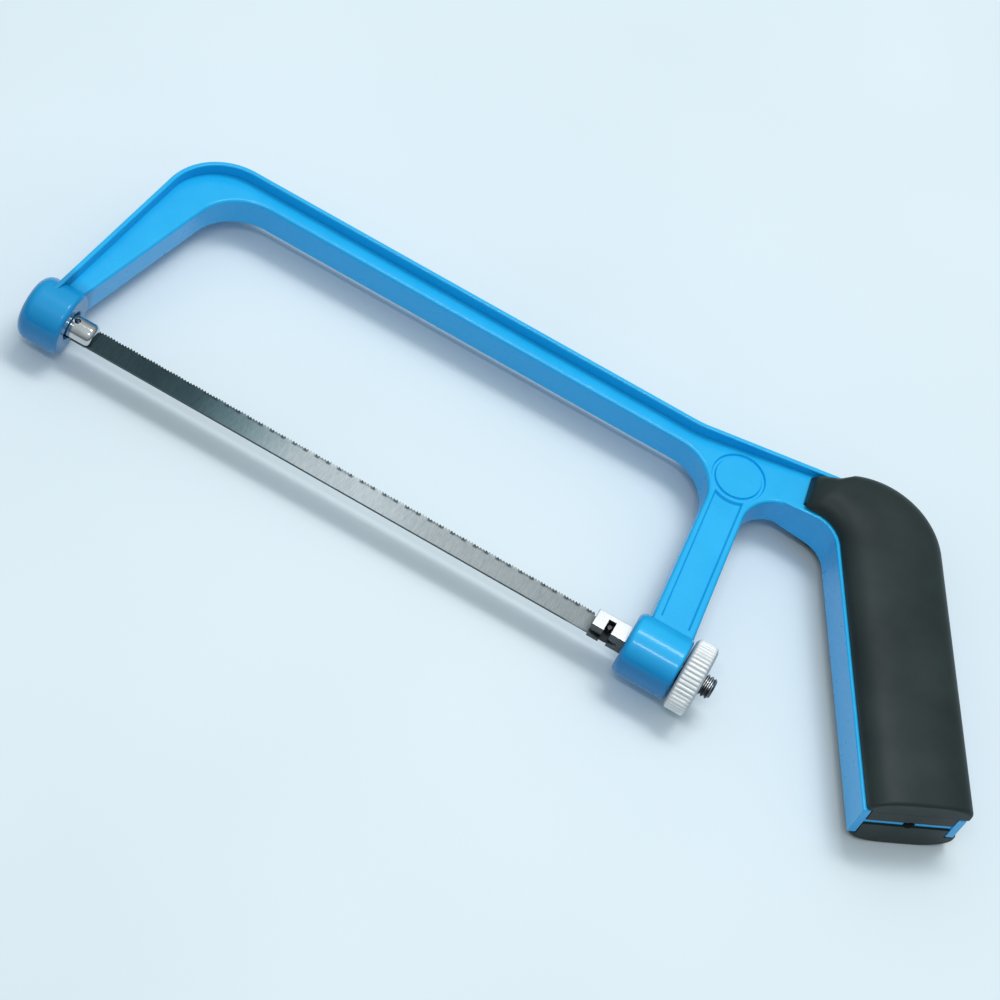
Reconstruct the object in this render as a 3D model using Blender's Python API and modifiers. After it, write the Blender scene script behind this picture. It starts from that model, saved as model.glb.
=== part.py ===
"""Junior hacksaw with a cast pistol-grip frame, lying on its side.

The saw is drawn in millimetres about the front blade pin: +X runs along the blade towards the
handle, +Y from the blade to the frame's back, +Z through the thickness, with Z = 0 on the frame's
middle plane. An empty carries the whole saw to its reference point, the centre of the footprint.
"""
import bpy
import bmesh
from math import acos, atan2, ceil, cos, degrees, hypot, pi, radians, sin, sqrt, tan
from mathutils import Matrix, Vector

MM = 0.001

# ---- driving dimensions (mm) -------------------------------------------------------------------
PIN_SPACING = 146.0          # between the blade's two pins
GAP = 0.3                    # clearance between pieces that touch
ORIGIN = (114.17, 30.58, -10.5)   # footprint centre at the lowest point, in drawing coordinates

BODY_HALF = 4.5              # half thickness of the beam and both arms
RIM_HALF = 8.1               # half height of the rim along the frame's back
RIM_THICK = 1.25
BEAM_INNER_Y = 56.1
BEAM_OUTER_Y = 61.7
TOE_FOOT = (-8.5, 1.5)       # lower end of the toe arm's outer edge
TOE_CORNER_X = -0.95
TOE_RADIUS = 16.4
BEND_X = 141.5               # the back starts to rise here, towards the handle
BEND_RADIUS = 25.0
RISE_ANGLE = 11.8            # degrees
RIM_END_X = 177.5
BODY_END_X = 175.0           # the solid body stops here and the handle's thin web starts

TOE_INNER_FOOT = (-3.5, 1.5)
TOE_INNER_X = 10.4           # inner toe corner
TOE_INNER_RADIUS = 14.1
REAR_ARM_FRONT = (149.75, 153.7)     # x at the beam and at the blade
REAR_ARM_BACK = (160.05, 165.2)
ARM_FOOT_Y = 1.5
OPENING_RADIUS = 12.4
ARCH_Y = 55.0
ARCH_FRONT_RADIUS = 9.4
ARCH_REAR_RADIUS = 8.5

MEDAL_CENTRE = (155.2, 54.9)
MEDAL_GROOVE = (5.9, 6.9)    # inner and outer radius of the ring groove
GROOVE_DEPTH = 0.45
PANEL_MARGIN = 1.8           # border left beside the rear arm's sunk panel
PANEL_DEPTH = 0.7
PANEL_FOOT_Y = 8.2
PANEL_TOP_RADIUS = 6.5       # the panel runs into the medallion's groove

FRONT_BOSS = (-12.6, -1.2, 8.2)      # x start, x end, radius
REAR_BOSS = (150.8, 165.1, 8.0)
BOSS_NOSE_ROUND = 3.0
BOSS_EDGE_ROUND = 0.9
COUNTERBORE = (3.8, 0.6)     # radius, depth at the front boss's mouth

HANDLE_CORNER_X = 181.6      # the handle's front line starts here, at the arch's height
HANDLE_RAKE = 62.0           # degrees below +X
HANDLE_LENGTH = 76.0
FRAME_WIDTH = 25.9           # front flange face to rear flange face
FLANGE_THICK = 2.0
FRONT_FLANGE_HALF = 5.8
REAR_FLANGE_HALF = 4.6
WEB_HALF = 0.8
WEB_END_INSET = 0.4          # the web stops this short of the flanges' ends
FLANGE_START_X = 173.5
HANDLE_BACK_RADIUS = 19.2
END_HOLE_RADIUS = 1.5
END_HOLE_DEPTH = 7.0

STUD_RADIUS = 3.15
STUD_ENDS = (-10.6, 5.4)
STUD_END_ROUND = 1.6
STUD_CHAMFER = 0.4
PEEPHOLE_RADIUS = 0.8        # drilled down to the pin from the stud's upper side
BLADE_Z = -0.6
BLADE_THICK = 0.6
BLADE_WIDTH = 6.0
BLADE_END_RADIUS = 3.0
TEETH_INSET = 4.0            # from each pin to the first and last tooth
TOOTH_PITCH = 0.79           # 32 teeth to the inch
TOOTH_DEPTH = 0.5
TOOTH_FACE = 0.2             # length of a tooth's steep leading face, along the blade
SLOT_HEIGHT = 1.2
PIN_RADIUS = 0.7
PIN_HALF = 2.2
PIN_HOLE_RADIUS = 0.85
TENSION_TRAVEL = 1.5

BAR_SIZE = (4.8, 5.8)        # the tension bolt's bar, across Y and Z
BAR_START_X = 141.9
BAR_END_X = 158.5
BAR_HOLE_END_X = 160.0
THREAD_RADIUS = 2.8
THREAD_ROOT = 0.3            # how far the thread runs into the bar's end
BOLT_END_X = 174.3
NUT = (165.45, 171.2, 9.1)   # x start, x end, radius
NUT_BORE_RADIUS = 3.1
NUT_CHAMFER = 0.7
KNURLS = 48
KNURL_DEPTH = 0.35

GRIP_HALF = 10.5             # half thickness at the crown
GRIP_SIDE = 6.1              # where the straight side ends and the crown begins
GRIP_FLOOR = 4.85            # underside of the part that lies on the frame
GRIP_NOSE = 5.3              # height of the nose at the start line
GRIP_NOSE_LENGTH = 8.0
GRIP_START = ((170.9, 65.6), (172.5, 55.8))   # outer and inner end of the start line
GRIP_FRONT_INSET = 0.8
GRIP_WIDTH = 26.8            # handle front line to the grip's rear edge
GRIP_BACK_CENTRE_Y = 52.9
GRIP_BACK_RADIUS = 20.4
GRIP_BACK_START = 118.0      # degrees, where the grip's round back begins
CROWN_POWER = 3.2
FAN_SECTIONS = 16
STRAIGHT_SECTIONS = 7
CROWN_POINTS = 14

SCREW_PLACES = (("top", 14.0), ("end", 60.0))   # distance down the handle
SCREW_ACROSS = 13.4          # distance from the handle's front line
POST_RADIUS = 3.0
WEB_HOLE_RADIUS = 3.4
SCREW_SHANK_RADIUS = 1.4
SCREW_HEAD_RADIUS = 2.8
SCREW_HEAD_SEAT = -6.2
SCREW_HEAD_HEIGHT = 1.9
SCREW_TIP = 5.6
PILOT_RADIUS = 1.75
HEAD_WELL_RADIUS = 3.2

ARC_STEP = 6.0               # degrees between the points of a rounded corner
ROUND_SEGMENTS = 48
SMALL_SEGMENTS = 24

PAINT = ("blue_paint", (0.03, 0.42, 0.85), 0.25, 0.0)
CHROME = ("chrome", (0.85, 0.86, 0.88), 0.12, 1.0)
BLADE_STEEL = ("blade_steel", (0.28, 0.31, 0.33), 0.38, 1.0)
PIN_STEEL = ("pin_steel", (0.42, 0.44, 0.46), 0.35, 1.0)
NUT_METAL = ("nut_aluminium", (0.86, 0.88, 0.88), 0.35, 1.0)
GRIP_PLASTIC = ("grip_plastic", (0.03, 0.035, 0.04), 0.5, 0.0)
SCREW_STEEL = ("screw_steel", (0.6, 0.61, 0.62), 0.3, 1.0)


# ---- scene and object helpers -------------------------------------------------------------------
def clear_scene():
    for obj in list(bpy.data.objects):
        bpy.data.objects.remove(obj, do_unlink=True)


def new_collection(name):
    collection = bpy.data.collections.new(name)
    bpy.context.scene.collection.children.link(collection)
    return collection


def make_material(spec):
    name, colour, roughness, metallic = spec
    material = bpy.data.materials.new(name)
    material.use_nodes = True
    shader = material.node_tree.nodes["Principled BSDF"]
    shader.inputs["Base Color"].default_value = (*colour, 1.0)
    shader.inputs["Roughness"].default_value = roughness
    shader.inputs["Metallic"].default_value = metallic
    return material


def add_object(name, mesh, collection=None):
    obj = bpy.data.objects.new(name, mesh)
    (collection or PARTS).objects.link(obj)
    return obj


def finish_part(obj, spec, parent, smooth_angle=35.0):
    """Give a part its material, its shading and its parent."""
    obj.data.materials.append(make_material(spec))
    obj.data.shade_smooth()
    obj.data.set_sharp_from_angle(angle=radians(smooth_angle))
    obj.parent = parent


def boolean(target, cutter, operation="DIFFERENCE"):
    """Cut, join or intersect the target with a hidden helper object."""
    modifier = target.modifiers.new(operation.lower(), "BOOLEAN")
    modifier.operation = operation
    modifier.solver = "EXACT"
    modifier.object = cutter
    cutter.hide_render = True
    cutter.display_type = "WIRE"


# ---- plane geometry (mm) ------------------------------------------------------------------------
def unit(dx, dy):
    length = hypot(dx, dy)
    return dx / length, dy / length


def corner_arc(before, corner, after, radius):
    """Points of the round that replaces a corner between two straight runs."""
    in_x, in_y = unit(before[0] - corner[0], before[1] - corner[1])
    out_x, out_y = unit(after[0] - corner[0], after[1] - corner[1])
    half = acos(max(-1.0, min(1.0, in_x * out_x + in_y * out_y))) / 2
    mid_x, mid_y = unit(in_x + out_x, in_y + out_y)
    reach = radius / sin(half)
    centre = (corner[0] + mid_x * reach, corner[1] + mid_y * reach)
    run = radius / tan(half)
    start = atan2(corner[1] + in_y * run - centre[1], corner[0] + in_x * run - centre[0])
    end = atan2(corner[1] + out_y * run - centre[1], corner[0] + out_x * run - centre[0])
    sweep = (end - start + pi) % (2 * pi) - pi
    steps = max(2, ceil(degrees(abs(sweep)) / ARC_STEP))
    return [(centre[0] + radius * cos(start + sweep * i / steps),
             centre[1] + radius * sin(start + sweep * i / steps)) for i in range(steps + 1)]


def path_points(corners):
    """An open path through (x, y, radius) corners, with each radius rounded."""
    points = [corners[0][:2]]
    for before, corner, after in zip(corners, corners[1:], corners[2:]):
        if corner[2] > 0:
            points += corner_arc(before, corner, after, corner[2])
        else:
            points.append(corner[:2])
    points.append(corners[-1][:2])
    return points


def shift_path(corners, distance):
    """The same path moved to its right by a distance; radii grow or shrink to match."""
    count = len(corners)
    normals = []
    for first, second in zip(corners, corners[1:]):
        dx, dy = unit(second[0] - first[0], second[1] - first[1])
        normals.append((dy, -dx))
    shifted = []
    for i, (x, y, radius) in enumerate(corners):
        before = normals[max(i - 1, 0)]
        after = normals[min(i, count - 2)]
        scale = distance / (1 + before[0] * after[0] + before[1] * after[1])
        right_turn = before[0] * after[1] - before[1] * after[0] < 0
        new_radius = radius - distance if right_turn else radius + distance
        shifted.append((x + (before[0] + after[0]) * scale, y + (before[1] + after[1]) * scale,
                        new_radius if radius > 0 else 0))
    return shifted


def band_outline(corners, inner, outer):
    """Closed outline of the strip between two right-hand shifts of one path."""
    return path_points(shift_path(corners, inner)) + path_points(shift_path(corners, outer))[::-1]


def circle_points(centre, radius, segments=ROUND_SEGMENTS):
    return [(centre[0] + radius * cos(2 * pi * i / segments),
             centre[1] + radius * sin(2 * pi * i / segments)) for i in range(segments)]


def handle_point(across, down):
    """A point given across the handle from its front line, and down along it."""
    rake = radians(HANDLE_RAKE)
    return (HANDLE_CORNER_X + across * sin(rake) + down * cos(rake),
            ARCH_Y + across * cos(rake) - down * sin(rake))


# ---- solids -------------------------------------------------------------------------------------
def plate(name, outline, z_low, z_high, collection=None):
    """Extrude a closed outline between two heights."""
    curve = bpy.data.curves.new(name, "CURVE")
    curve.dimensions = "2D"
    curve.fill_mode = "BOTH"
    curve.extrude = (z_high - z_low) / 2 * MM
    spline = curve.splines.new("POLY")
    spline.points.add(len(outline) - 1)
    for point, (x, y) in zip(spline.points, outline):
        point.co = (x * MM, y * MM, 0.0, 1.0)
    spline.use_cyclic_u = True
    source = bpy.data.objects.new(name + "_outline", curve)
    bpy.context.scene.collection.objects.link(source)
    depsgraph = bpy.context.evaluated_depsgraph_get()
    mesh = bpy.data.meshes.new_from_object(source.evaluated_get(depsgraph))
    bpy.data.objects.remove(source, do_unlink=True)
    bm = bmesh.new()
    bm.from_mesh(mesh)
    bmesh.ops.remove_doubles(bm, verts=bm.verts, dist=1e-6)
    bmesh.ops.translate(bm, verts=bm.verts, vec=(0, 0, (z_low + z_high) / 2 * MM))
    bmesh.ops.recalc_face_normals(bm, faces=bm.faces)
    bm.to_mesh(mesh)
    bm.free()
    return add_object(name, mesh, collection or CUTTERS)


def rod(name, radius, low, high, axis="X", centre=(0, 0, 0), segments=SMALL_SEGMENTS, collection=None):
    """A cylinder along X or Z between two stations."""
    mesh = bpy.data.meshes.new(name)
    bm = bmesh.new()
    bmesh.ops.create_cone(bm, cap_ends=True, segments=segments, radius1=radius * MM,
                          radius2=radius * MM, depth=(high - low) * MM)
    middle = (low + high) / 2
    if axis == "X":
        bmesh.ops.rotate(bm, verts=bm.verts, matrix=Matrix.Rotation(pi / 2, 3, "Y"))
        shift = Vector((middle, centre[1], centre[2]))
    else:
        shift = Vector((centre[0], centre[1], middle))
    bmesh.ops.translate(bm, verts=bm.verts, vec=shift * MM)
    bm.to_mesh(mesh)
    bm.free()
    return add_object(name, mesh, collection or CUTTERS)


def box(name, low, high, collection=None):
    mesh = bpy.data.meshes.new(name)
    bm = bmesh.new()
    bmesh.ops.create_cube(bm, size=1.0)
    size = [(b - a) * MM for a, b in zip(low, high)]
    bmesh.ops.scale(bm, verts=bm.verts, vec=size)
    bmesh.ops.translate(bm, verts=bm.verts, vec=[(a + b) / 2 * MM for a, b in zip(low, high)])
    bm.to_mesh(mesh)
    bm.free()
    return add_object(name, mesh, collection or CUTTERS)


def turned(name, profile, axis="X", collection=None, segments=ROUND_SEGMENTS):
    """Turn a profile of (radius, station) points, listed from its far end to its near end."""
    mesh = bpy.data.meshes.new(name)
    bm = bmesh.new()
    verts = [bm.verts.new((radius * MM, 0, station * MM)) for radius, station in profile]
    for first, second in zip(verts, verts[1:]):
        bm.edges.new((first, second))
    bm.to_mesh(mesh)
    bm.free()
    obj = add_object(name, mesh, collection or CUTTERS)
    screw = obj.modifiers.new("turn", "SCREW")
    screw.steps = segments
    screw.render_steps = segments
    screw.use_merge_vertices = True
    screw.merge_threshold = 1e-5
    if axis == "X":
        obj.rotation_euler = (0, pi / 2, 0)
    return obj


def rounded_edge(radius, station, round_size, towards):
    """Quarter round on a turned profile's edge; towards is +1 at the far end, -1 at the near end."""
    points = []
    for i in range(5):
        angle = pi / 2 * i / 4
        if towards < 0:
            angle = pi / 2 - angle
        points.append((radius - round_size + round_size * sin(angle),
                       station - towards * round_size * (1 - cos(angle))))
    return points


# ---- the frame casting --------------------------------------------------------------------------
def back_path(end_x):
    """Outer edge of the frame's back: toe arm, beam and the rise towards the handle."""
    rise_y = BEAM_OUTER_Y + (end_x - BEND_X) * tan(radians(RISE_ANGLE))
    toe_x = TOE_CORNER_X
    return [(*TOE_FOOT, 0), (toe_x, BEAM_OUTER_Y, TOE_RADIUS),
            (BEND_X, BEAM_OUTER_Y, BEND_RADIUS), (end_x, rise_y, 0)]


def arch_path(length=HANDLE_LENGTH):
    """Finger side of the arch and of the handle's front flange."""
    end = handle_point(0, length)
    return [(FLANGE_START_X, ARCH_Y, 0), (HANDLE_CORNER_X, ARCH_Y, ARCH_REAR_RADIUS), (*end, 0)]


def handle_back_path(start_x, length=HANDLE_LENGTH):
    """Outer face of the handle's rear flange, from the rising back round to the handle's end."""
    rise = tan(radians(RISE_ANGLE))
    start_y = BEAM_OUTER_Y + (start_x - BEND_X) * rise
    rake = radians(HANDLE_RAKE)
    rear_x, rear_y = handle_point(FRAME_WIDTH, 0)
    # where the rising line meets the handle's rear line
    along = ((rear_y - start_y) - (rear_x - start_x) * rise) / (sin(rake) + cos(rake) * rise)
    corner = (rear_x + along * cos(rake), rear_y - along * sin(rake))
    return [(start_x, start_y, 0), (*corner, HANDLE_BACK_RADIUS),
            (*handle_point(FRAME_WIDTH, length), 0)]


def body_outline():
    outer = path_points(shift_path(back_path(BODY_END_X), RIM_THICK / 2))
    inner = path_points([(BODY_END_X, ARCH_Y, 0),
                         (REAR_ARM_BACK[0], ARCH_Y, ARCH_FRONT_RADIUS),
                         (REAR_ARM_BACK[1], ARM_FOOT_Y, 0),
                         (REAR_ARM_FRONT[1], ARM_FOOT_Y, 0),
                         (REAR_ARM_FRONT[0], BEAM_INNER_Y, OPENING_RADIUS),
                         (TOE_INNER_X, BEAM_INNER_Y, TOE_INNER_RADIUS),
                         (*TOE_INNER_FOOT, 0)])
    return outer + inner


def web_outline():
    length = HANDLE_LENGTH - WEB_END_INSET
    front = path_points(shift_path(arch_path(length), -FLANGE_THICK / 2))
    back = path_points(shift_path(handle_back_path(FLANGE_START_X, length), FLANGE_THICK / 2))
    return back + front[::-1]


def arm_edge_x(edge, y):
    """x of one edge line of the rear arm at a height."""
    slope = (edge[0] - edge[1]) / (BEAM_INNER_Y - ARM_FOOT_Y)
    return edge[1] + slope * (y - ARM_FOOT_Y)


def panel_outline():
    """Sunk panel of the rear arm; its top follows the medallion."""
    corner_y = MEDAL_CENTRE[1] - PANEL_TOP_RADIUS * 0.75
    left = arm_edge_x(REAR_ARM_FRONT, corner_y) + PANEL_MARGIN
    right = arm_edge_x(REAR_ARM_BACK, corner_y) - PANEL_MARGIN
    start = atan2(corner_y - MEDAL_CENTRE[1], left - MEDAL_CENTRE[0])
    end = atan2(corner_y - MEDAL_CENTRE[1], right - MEDAL_CENTRE[0])
    steps = 8
    top = [(MEDAL_CENTRE[0] + PANEL_TOP_RADIUS * cos(start + (end - start) * i / steps),
            MEDAL_CENTRE[1] + PANEL_TOP_RADIUS * sin(start + (end - start) * i / steps))
           for i in range(steps + 1)]
    foot_left = arm_edge_x(REAR_ARM_FRONT, PANEL_FOOT_Y) + PANEL_MARGIN
    foot_right = arm_edge_x(REAR_ARM_BACK, PANEL_FOOT_Y) - PANEL_MARGIN
    return top + [(foot_right, PANEL_FOOT_Y), (foot_left, PANEL_FOOT_Y)]


def boss_profile(start, end, radius, nose_round, edge_round):
    return ([(0, end)] + rounded_edge(radius, end, edge_round, 1)
            + rounded_edge(radius, start, nose_round, -1) + [(0, start)])


def ring_cutter(name, z_low, z_high):
    """Flat ring for the medallion's groove."""
    inner, outer = MEDAL_GROOVE
    ring = plate(name, circle_points(MEDAL_CENTRE, outer), z_low, z_high)
    boolean(ring, plate(name + "_core", circle_points(MEDAL_CENTRE, inner), z_low - 1, z_high + 1))
    return ring


def place_on_handle_end(cutter):
    """Set a cutter drawn along X on the middle of the handle's end face."""
    x, y = handle_point(SCREW_ACROSS, HANDLE_LENGTH)
    cutter.rotation_euler = (0, 0, radians(-HANDLE_RAKE))
    cutter.location = (x * MM, y * MM, 0)


def build_frame(parent):
    frame = plate("frame", body_outline(), -BODY_HALF, BODY_HALF, PARTS)
    rim = plate("rim", band_outline(back_path(RIM_END_X), 0, RIM_THICK), -RIM_HALF, RIM_HALF)
    web = plate("web", web_outline(), -WEB_HALF, WEB_HALF)
    front = plate("front_flange", band_outline(arch_path(), 0, -FLANGE_THICK),
                  -FRONT_FLANGE_HALF, FRONT_FLANGE_HALF)
    rear_start = RIM_END_X - 4
    rear = plate("rear_flange", band_outline(handle_back_path(rear_start), 0.05, FLANGE_THICK),
                 -REAR_FLANGE_HALF, REAR_FLANGE_HALF)
    front_boss = turned("front_boss", boss_profile(*FRONT_BOSS, BOSS_NOSE_ROUND, BOSS_EDGE_ROUND))
    rear_boss = turned("rear_boss", boss_profile(*REAR_BOSS, BOSS_EDGE_ROUND, BOSS_EDGE_ROUND))
    for piece in (rim, web, front, rear, front_boss, rear_boss):
        boolean(frame, piece, "UNION")

    mouth_radius, mouth_depth = COUNTERBORE
    mouth_x = FRONT_BOSS[1] - mouth_depth
    bore_radius = STUD_RADIUS + GAP
    stud_bore = turned("stud_bore", [(0, 2), (mouth_radius, 2), (mouth_radius, mouth_x),
                                     (bore_radius, mouth_x), (bore_radius, STUD_ENDS[0] - GAP),
                                     (0, STUD_ENDS[0] - GAP)], segments=32)
    half_y = BAR_SIZE[0] / 2 + GAP
    half_z = BAR_SIZE[1] / 2 + GAP
    bar_hole = box("bar_hole", (REAR_BOSS[0] - 5, -half_y, -half_z), (BAR_HOLE_END_X, half_y, half_z))
    thread_start = BAR_END_X - THREAD_ROOT - TENSION_TRAVEL - GAP
    thread_hole = rod("thread_hole", THREAD_RADIUS + GAP, thread_start, REAR_BOSS[1] + 2, segments=32)
    end_slot = box("end_slot", (-END_HOLE_DEPTH - GAP, -END_HOLE_RADIUS, -2),
                   (2, END_HOLE_RADIUS, 2))
    place_on_handle_end(end_slot)
    for cutter in (stud_bore, bar_hole, thread_hole, end_slot):
        boolean(frame, cutter)
    for label, side in (("top", 1), ("bottom", -1)):
        faces = sorted((side * (BODY_HALF - GROOVE_DEPTH), side * (BODY_HALF + 1)))
        boolean(frame, ring_cutter("medal_groove_" + label, *faces))
        faces = sorted((side * (BODY_HALF - PANEL_DEPTH), side * (BODY_HALF + 1)))
        boolean(frame, plate("panel_" + label, panel_outline(), *faces))
    for label, down in SCREW_PLACES:
        x, y = handle_point(SCREW_ACROSS, down)
        boolean(frame, rod("web_hole_" + label, WEB_HOLE_RADIUS, -3, 3, "Z", (x, y, 0)))
    finish_part(frame, PAINT, parent)


# ---- the blade and what holds it ----------------------------------------------------------------
def build_front_stud(parent):
    start, end = STUD_ENDS
    profile = ([(0, end)] + rounded_edge(STUD_RADIUS, end, STUD_END_ROUND, 1)
               + [(STUD_RADIUS, start + STUD_CHAMFER), (STUD_RADIUS - STUD_CHAMFER, start), (0, start)])
    stud = turned("front_stud", profile, collection=PARTS, segments=36)
    reach = BLADE_END_RADIUS + TENSION_TRAVEL + GAP
    slot = box("stud_slot", (-reach, -5, BLADE_Z - SLOT_HEIGHT / 2), (8, 5, BLADE_Z + SLOT_HEIGHT / 2))
    wall = PIN_RADIUS + GAP
    channel = box("stud_channel", (-wall - TENSION_TRAVEL, -wall, -5),
                  (wall, 5, BLADE_Z + PIN_HALF + GAP))
    peep = rod("stud_peephole", PEEPHOLE_RADIUS, 0, 5, "Z")
    for cutter in (slot, channel, peep):
        boolean(stud, cutter)
    finish_part(stud, CHROME, parent)


def blade_outline():
    """Flat blade with half-round ends about its two pins; its teeth lean towards the toe."""
    points = []
    for centre_x, start in ((0, pi / 2), (PIN_SPACING, -pi / 2)):
        for i in range(17):
            angle = start + pi * i / 16
            points.append((centre_x + BLADE_END_RADIUS * cos(angle), BLADE_END_RADIUS * sin(angle)))
    half_width = BLADE_WIDTH / 2
    for i in range(int((PIN_SPACING - 2 * TEETH_INSET) / TOOTH_PITCH)):
        tip_x = PIN_SPACING - TEETH_INSET - i * TOOTH_PITCH
        points.append((tip_x, half_width))
        points.append((tip_x - TOOTH_FACE, half_width - TOOTH_DEPTH))
    points.append((TEETH_INSET, half_width))
    return points


def build_blade(parent):
    half = BLADE_THICK / 2
    blade = plate("blade", blade_outline(), -half, half, PARTS)
    blade.location = (0, 0, BLADE_Z * MM)
    for label, x in (("front", 0), ("rear", PIN_SPACING)):
        hole = rod("blade_hole_" + label, PIN_HOLE_RADIUS, -2, 2, "Z", (x, 0, 0))
        hole.location = (0, 0, BLADE_Z * MM)
        boolean(blade, hole)
    finish_part(blade, BLADE_STEEL, parent)
    return blade


def build_blade_pins(parent):
    for label, x in (("front", 0), ("rear", PIN_SPACING)):
        pin = rod("blade_pin_" + label, PIN_RADIUS, -PIN_HALF, PIN_HALF, "Z", collection=PARTS)
        pin.location = (x * MM, 0, BLADE_Z * MM)
        finish_part(pin, PIN_STEEL, parent)


def build_tension_bolt(parent):
    half_y, half_z = BAR_SIZE[0] / 2, BAR_SIZE[1] / 2
    bolt = box("tension_bolt", (BAR_START_X, -half_y, -half_z), (BAR_END_X, half_y, half_z), PARTS)
    profile = [(0, BOLT_END_X), (THREAD_RADIUS - 0.6, BOLT_END_X), (THREAD_RADIUS, BOLT_END_X - 0.6),
               (THREAD_RADIUS, BAR_END_X - THREAD_ROOT), (0, BAR_END_X - THREAD_ROOT)]
    boolean(bolt, turned("thread", profile, segments=32), "UNION")
    slot_end = PIN_SPACING + BLADE_END_RADIUS + GAP
    slot = box("bolt_slot", (BAR_START_X - 5, -5, BLADE_Z - SLOT_HEIGHT / 2),
               (slot_end, 5, BLADE_Z + SLOT_HEIGHT / 2))
    wall = PIN_RADIUS + GAP
    notch = box("bolt_notch", (PIN_SPACING - wall, -5, -5), (PIN_SPACING + wall, wall, 5))
    for cutter in (slot, notch):
        boolean(bolt, cutter)
    finish_part(bolt, CHROME, parent)


def build_thumb_nut(parent):
    start, end, radius = NUT
    middle = (start + end) / 2
    half = (end - start) / 2
    outline = []
    for i in range(KNURLS * 2):
        angle = pi * i / KNURLS
        reach = radius - (KNURL_DEPTH if i % 2 else 0)
        outline.append((reach * cos(angle), reach * sin(angle)))
    nut = plate("thumb_nut", outline, NUT_CHAMFER - half, half - NUT_CHAMFER, PARTS)
    nut.rotation_euler = (0, pi / 2, 0)
    nut.location = (middle * MM, 0, 0)
    core = radius - KNURL_DEPTH - 0.1
    blank = [(0, half), (core - NUT_CHAMFER, half), (core, half - NUT_CHAMFER / 2),
             (core, NUT_CHAMFER / 2 - half), (core - NUT_CHAMFER, -half), (0, -half)]
    body = turned("nut_blank", blank)
    body.location = nut.location
    boolean(nut, body, "UNION")
    boolean(nut, rod("nut_bore", NUT_BORE_RADIUS, start - 2, end + 2))
    finish_part(nut, NUT_METAL, parent, 20.0)


# ---- the grip halves ----------------------------------------------------------------------------
def resample(points, count):
    """Evenly spaced points along a polyline."""
    lengths = [hypot(b[0] - a[0], b[1] - a[1]) for a, b in zip(points, points[1:])]
    total = sum(lengths)
    result = []
    for i in range(count):
        left = total * i / (count - 1)
        for (a, b), length in zip(zip(points, points[1:]), lengths):
            if left <= length + 1e-9:
                break
            left -= length
        share = min(left / length, 1.0)
        result.append((a[0] + (b[0] - a[0]) * share, a[1] + (b[1] - a[1]) * share))
    return result


def grip_back_centre():
    """Centre of the grip's round back, set so that the round meets the rear line."""
    rake = radians(HANDLE_RAKE)
    line_x, line_y = handle_point(GRIP_WIDTH - GRIP_BACK_RADIUS, 0)
    return line_x - (GRIP_BACK_CENTRE_Y - line_y) / tan(rake), GRIP_BACK_CENTRE_Y


def grip_sections():
    """Pairs of front and back points that the crown is spanned between."""
    centre = grip_back_centre()
    normal = radians(90 - HANDLE_RAKE)
    start_angle = radians(GRIP_BACK_START)
    back = [GRIP_START[0], (RIM_END_X - 0.2, rim_inner_y(RIM_END_X) - GAP)]
    for i in range(25):
        angle = start_angle + (normal - start_angle) * i / 24
        back.append((centre[0] + GRIP_BACK_RADIUS * cos(angle), centre[1] + GRIP_BACK_RADIUS * sin(angle)))
    knee = ((back[-1][0] - handle_point(GRIP_WIDTH, 0)[0]) / cos(radians(HANDLE_RAKE)))
    front_path = shift_path(arch_path(), -GRIP_FRONT_INSET)
    front_path[0] = (*GRIP_START[1], 0)
    front_path[-1] = (*handle_point(GRIP_FRONT_INSET, knee), 0)
    front = path_points(front_path)
    pairs = list(zip(resample(front, FAN_SECTIONS), resample(back, FAN_SECTIONS)))
    for i in range(1, STRAIGHT_SECTIONS + 1):
        down = knee + (HANDLE_LENGTH - knee) * i / STRAIGHT_SECTIONS
        pairs.append((handle_point(GRIP_FRONT_INSET, down), handle_point(GRIP_WIDTH, down)))
    return pairs


def rim_inner_y(x):
    """Inner wall of the rim along the rising back."""
    rise = radians(RISE_ANGLE)
    return BEAM_OUTER_Y + (x - BEND_X) * tan(rise) - RIM_THICK / cos(rise)


def start_distance(x, y):
    """Distance of a point behind the grip's start line."""
    (x0, y0), (x1, y1) = GRIP_START
    dx, dy = unit(x1 - x0, y1 - y0)
    return abs((x - x0) * dy - (y - y0) * dx)


def crown_height(x, y, share):
    """Height of the grip's skin at a share of the way from front edge to back edge."""
    nose = min(start_distance(x, y) / GRIP_NOSE_LENGTH, 1.0)
    ramp = sqrt(1 - (1 - nose) ** 2)
    side = GRIP_FLOOR + 0.2 + (GRIP_SIDE - GRIP_FLOOR - 0.2) * ramp
    top = GRIP_NOSE + (GRIP_HALF - GRIP_NOSE) * ramp
    bulge = sqrt(max(0.0, 1 - abs(2 * share - 1) ** CROWN_POWER))
    return side + (top - side) * bulge


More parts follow.
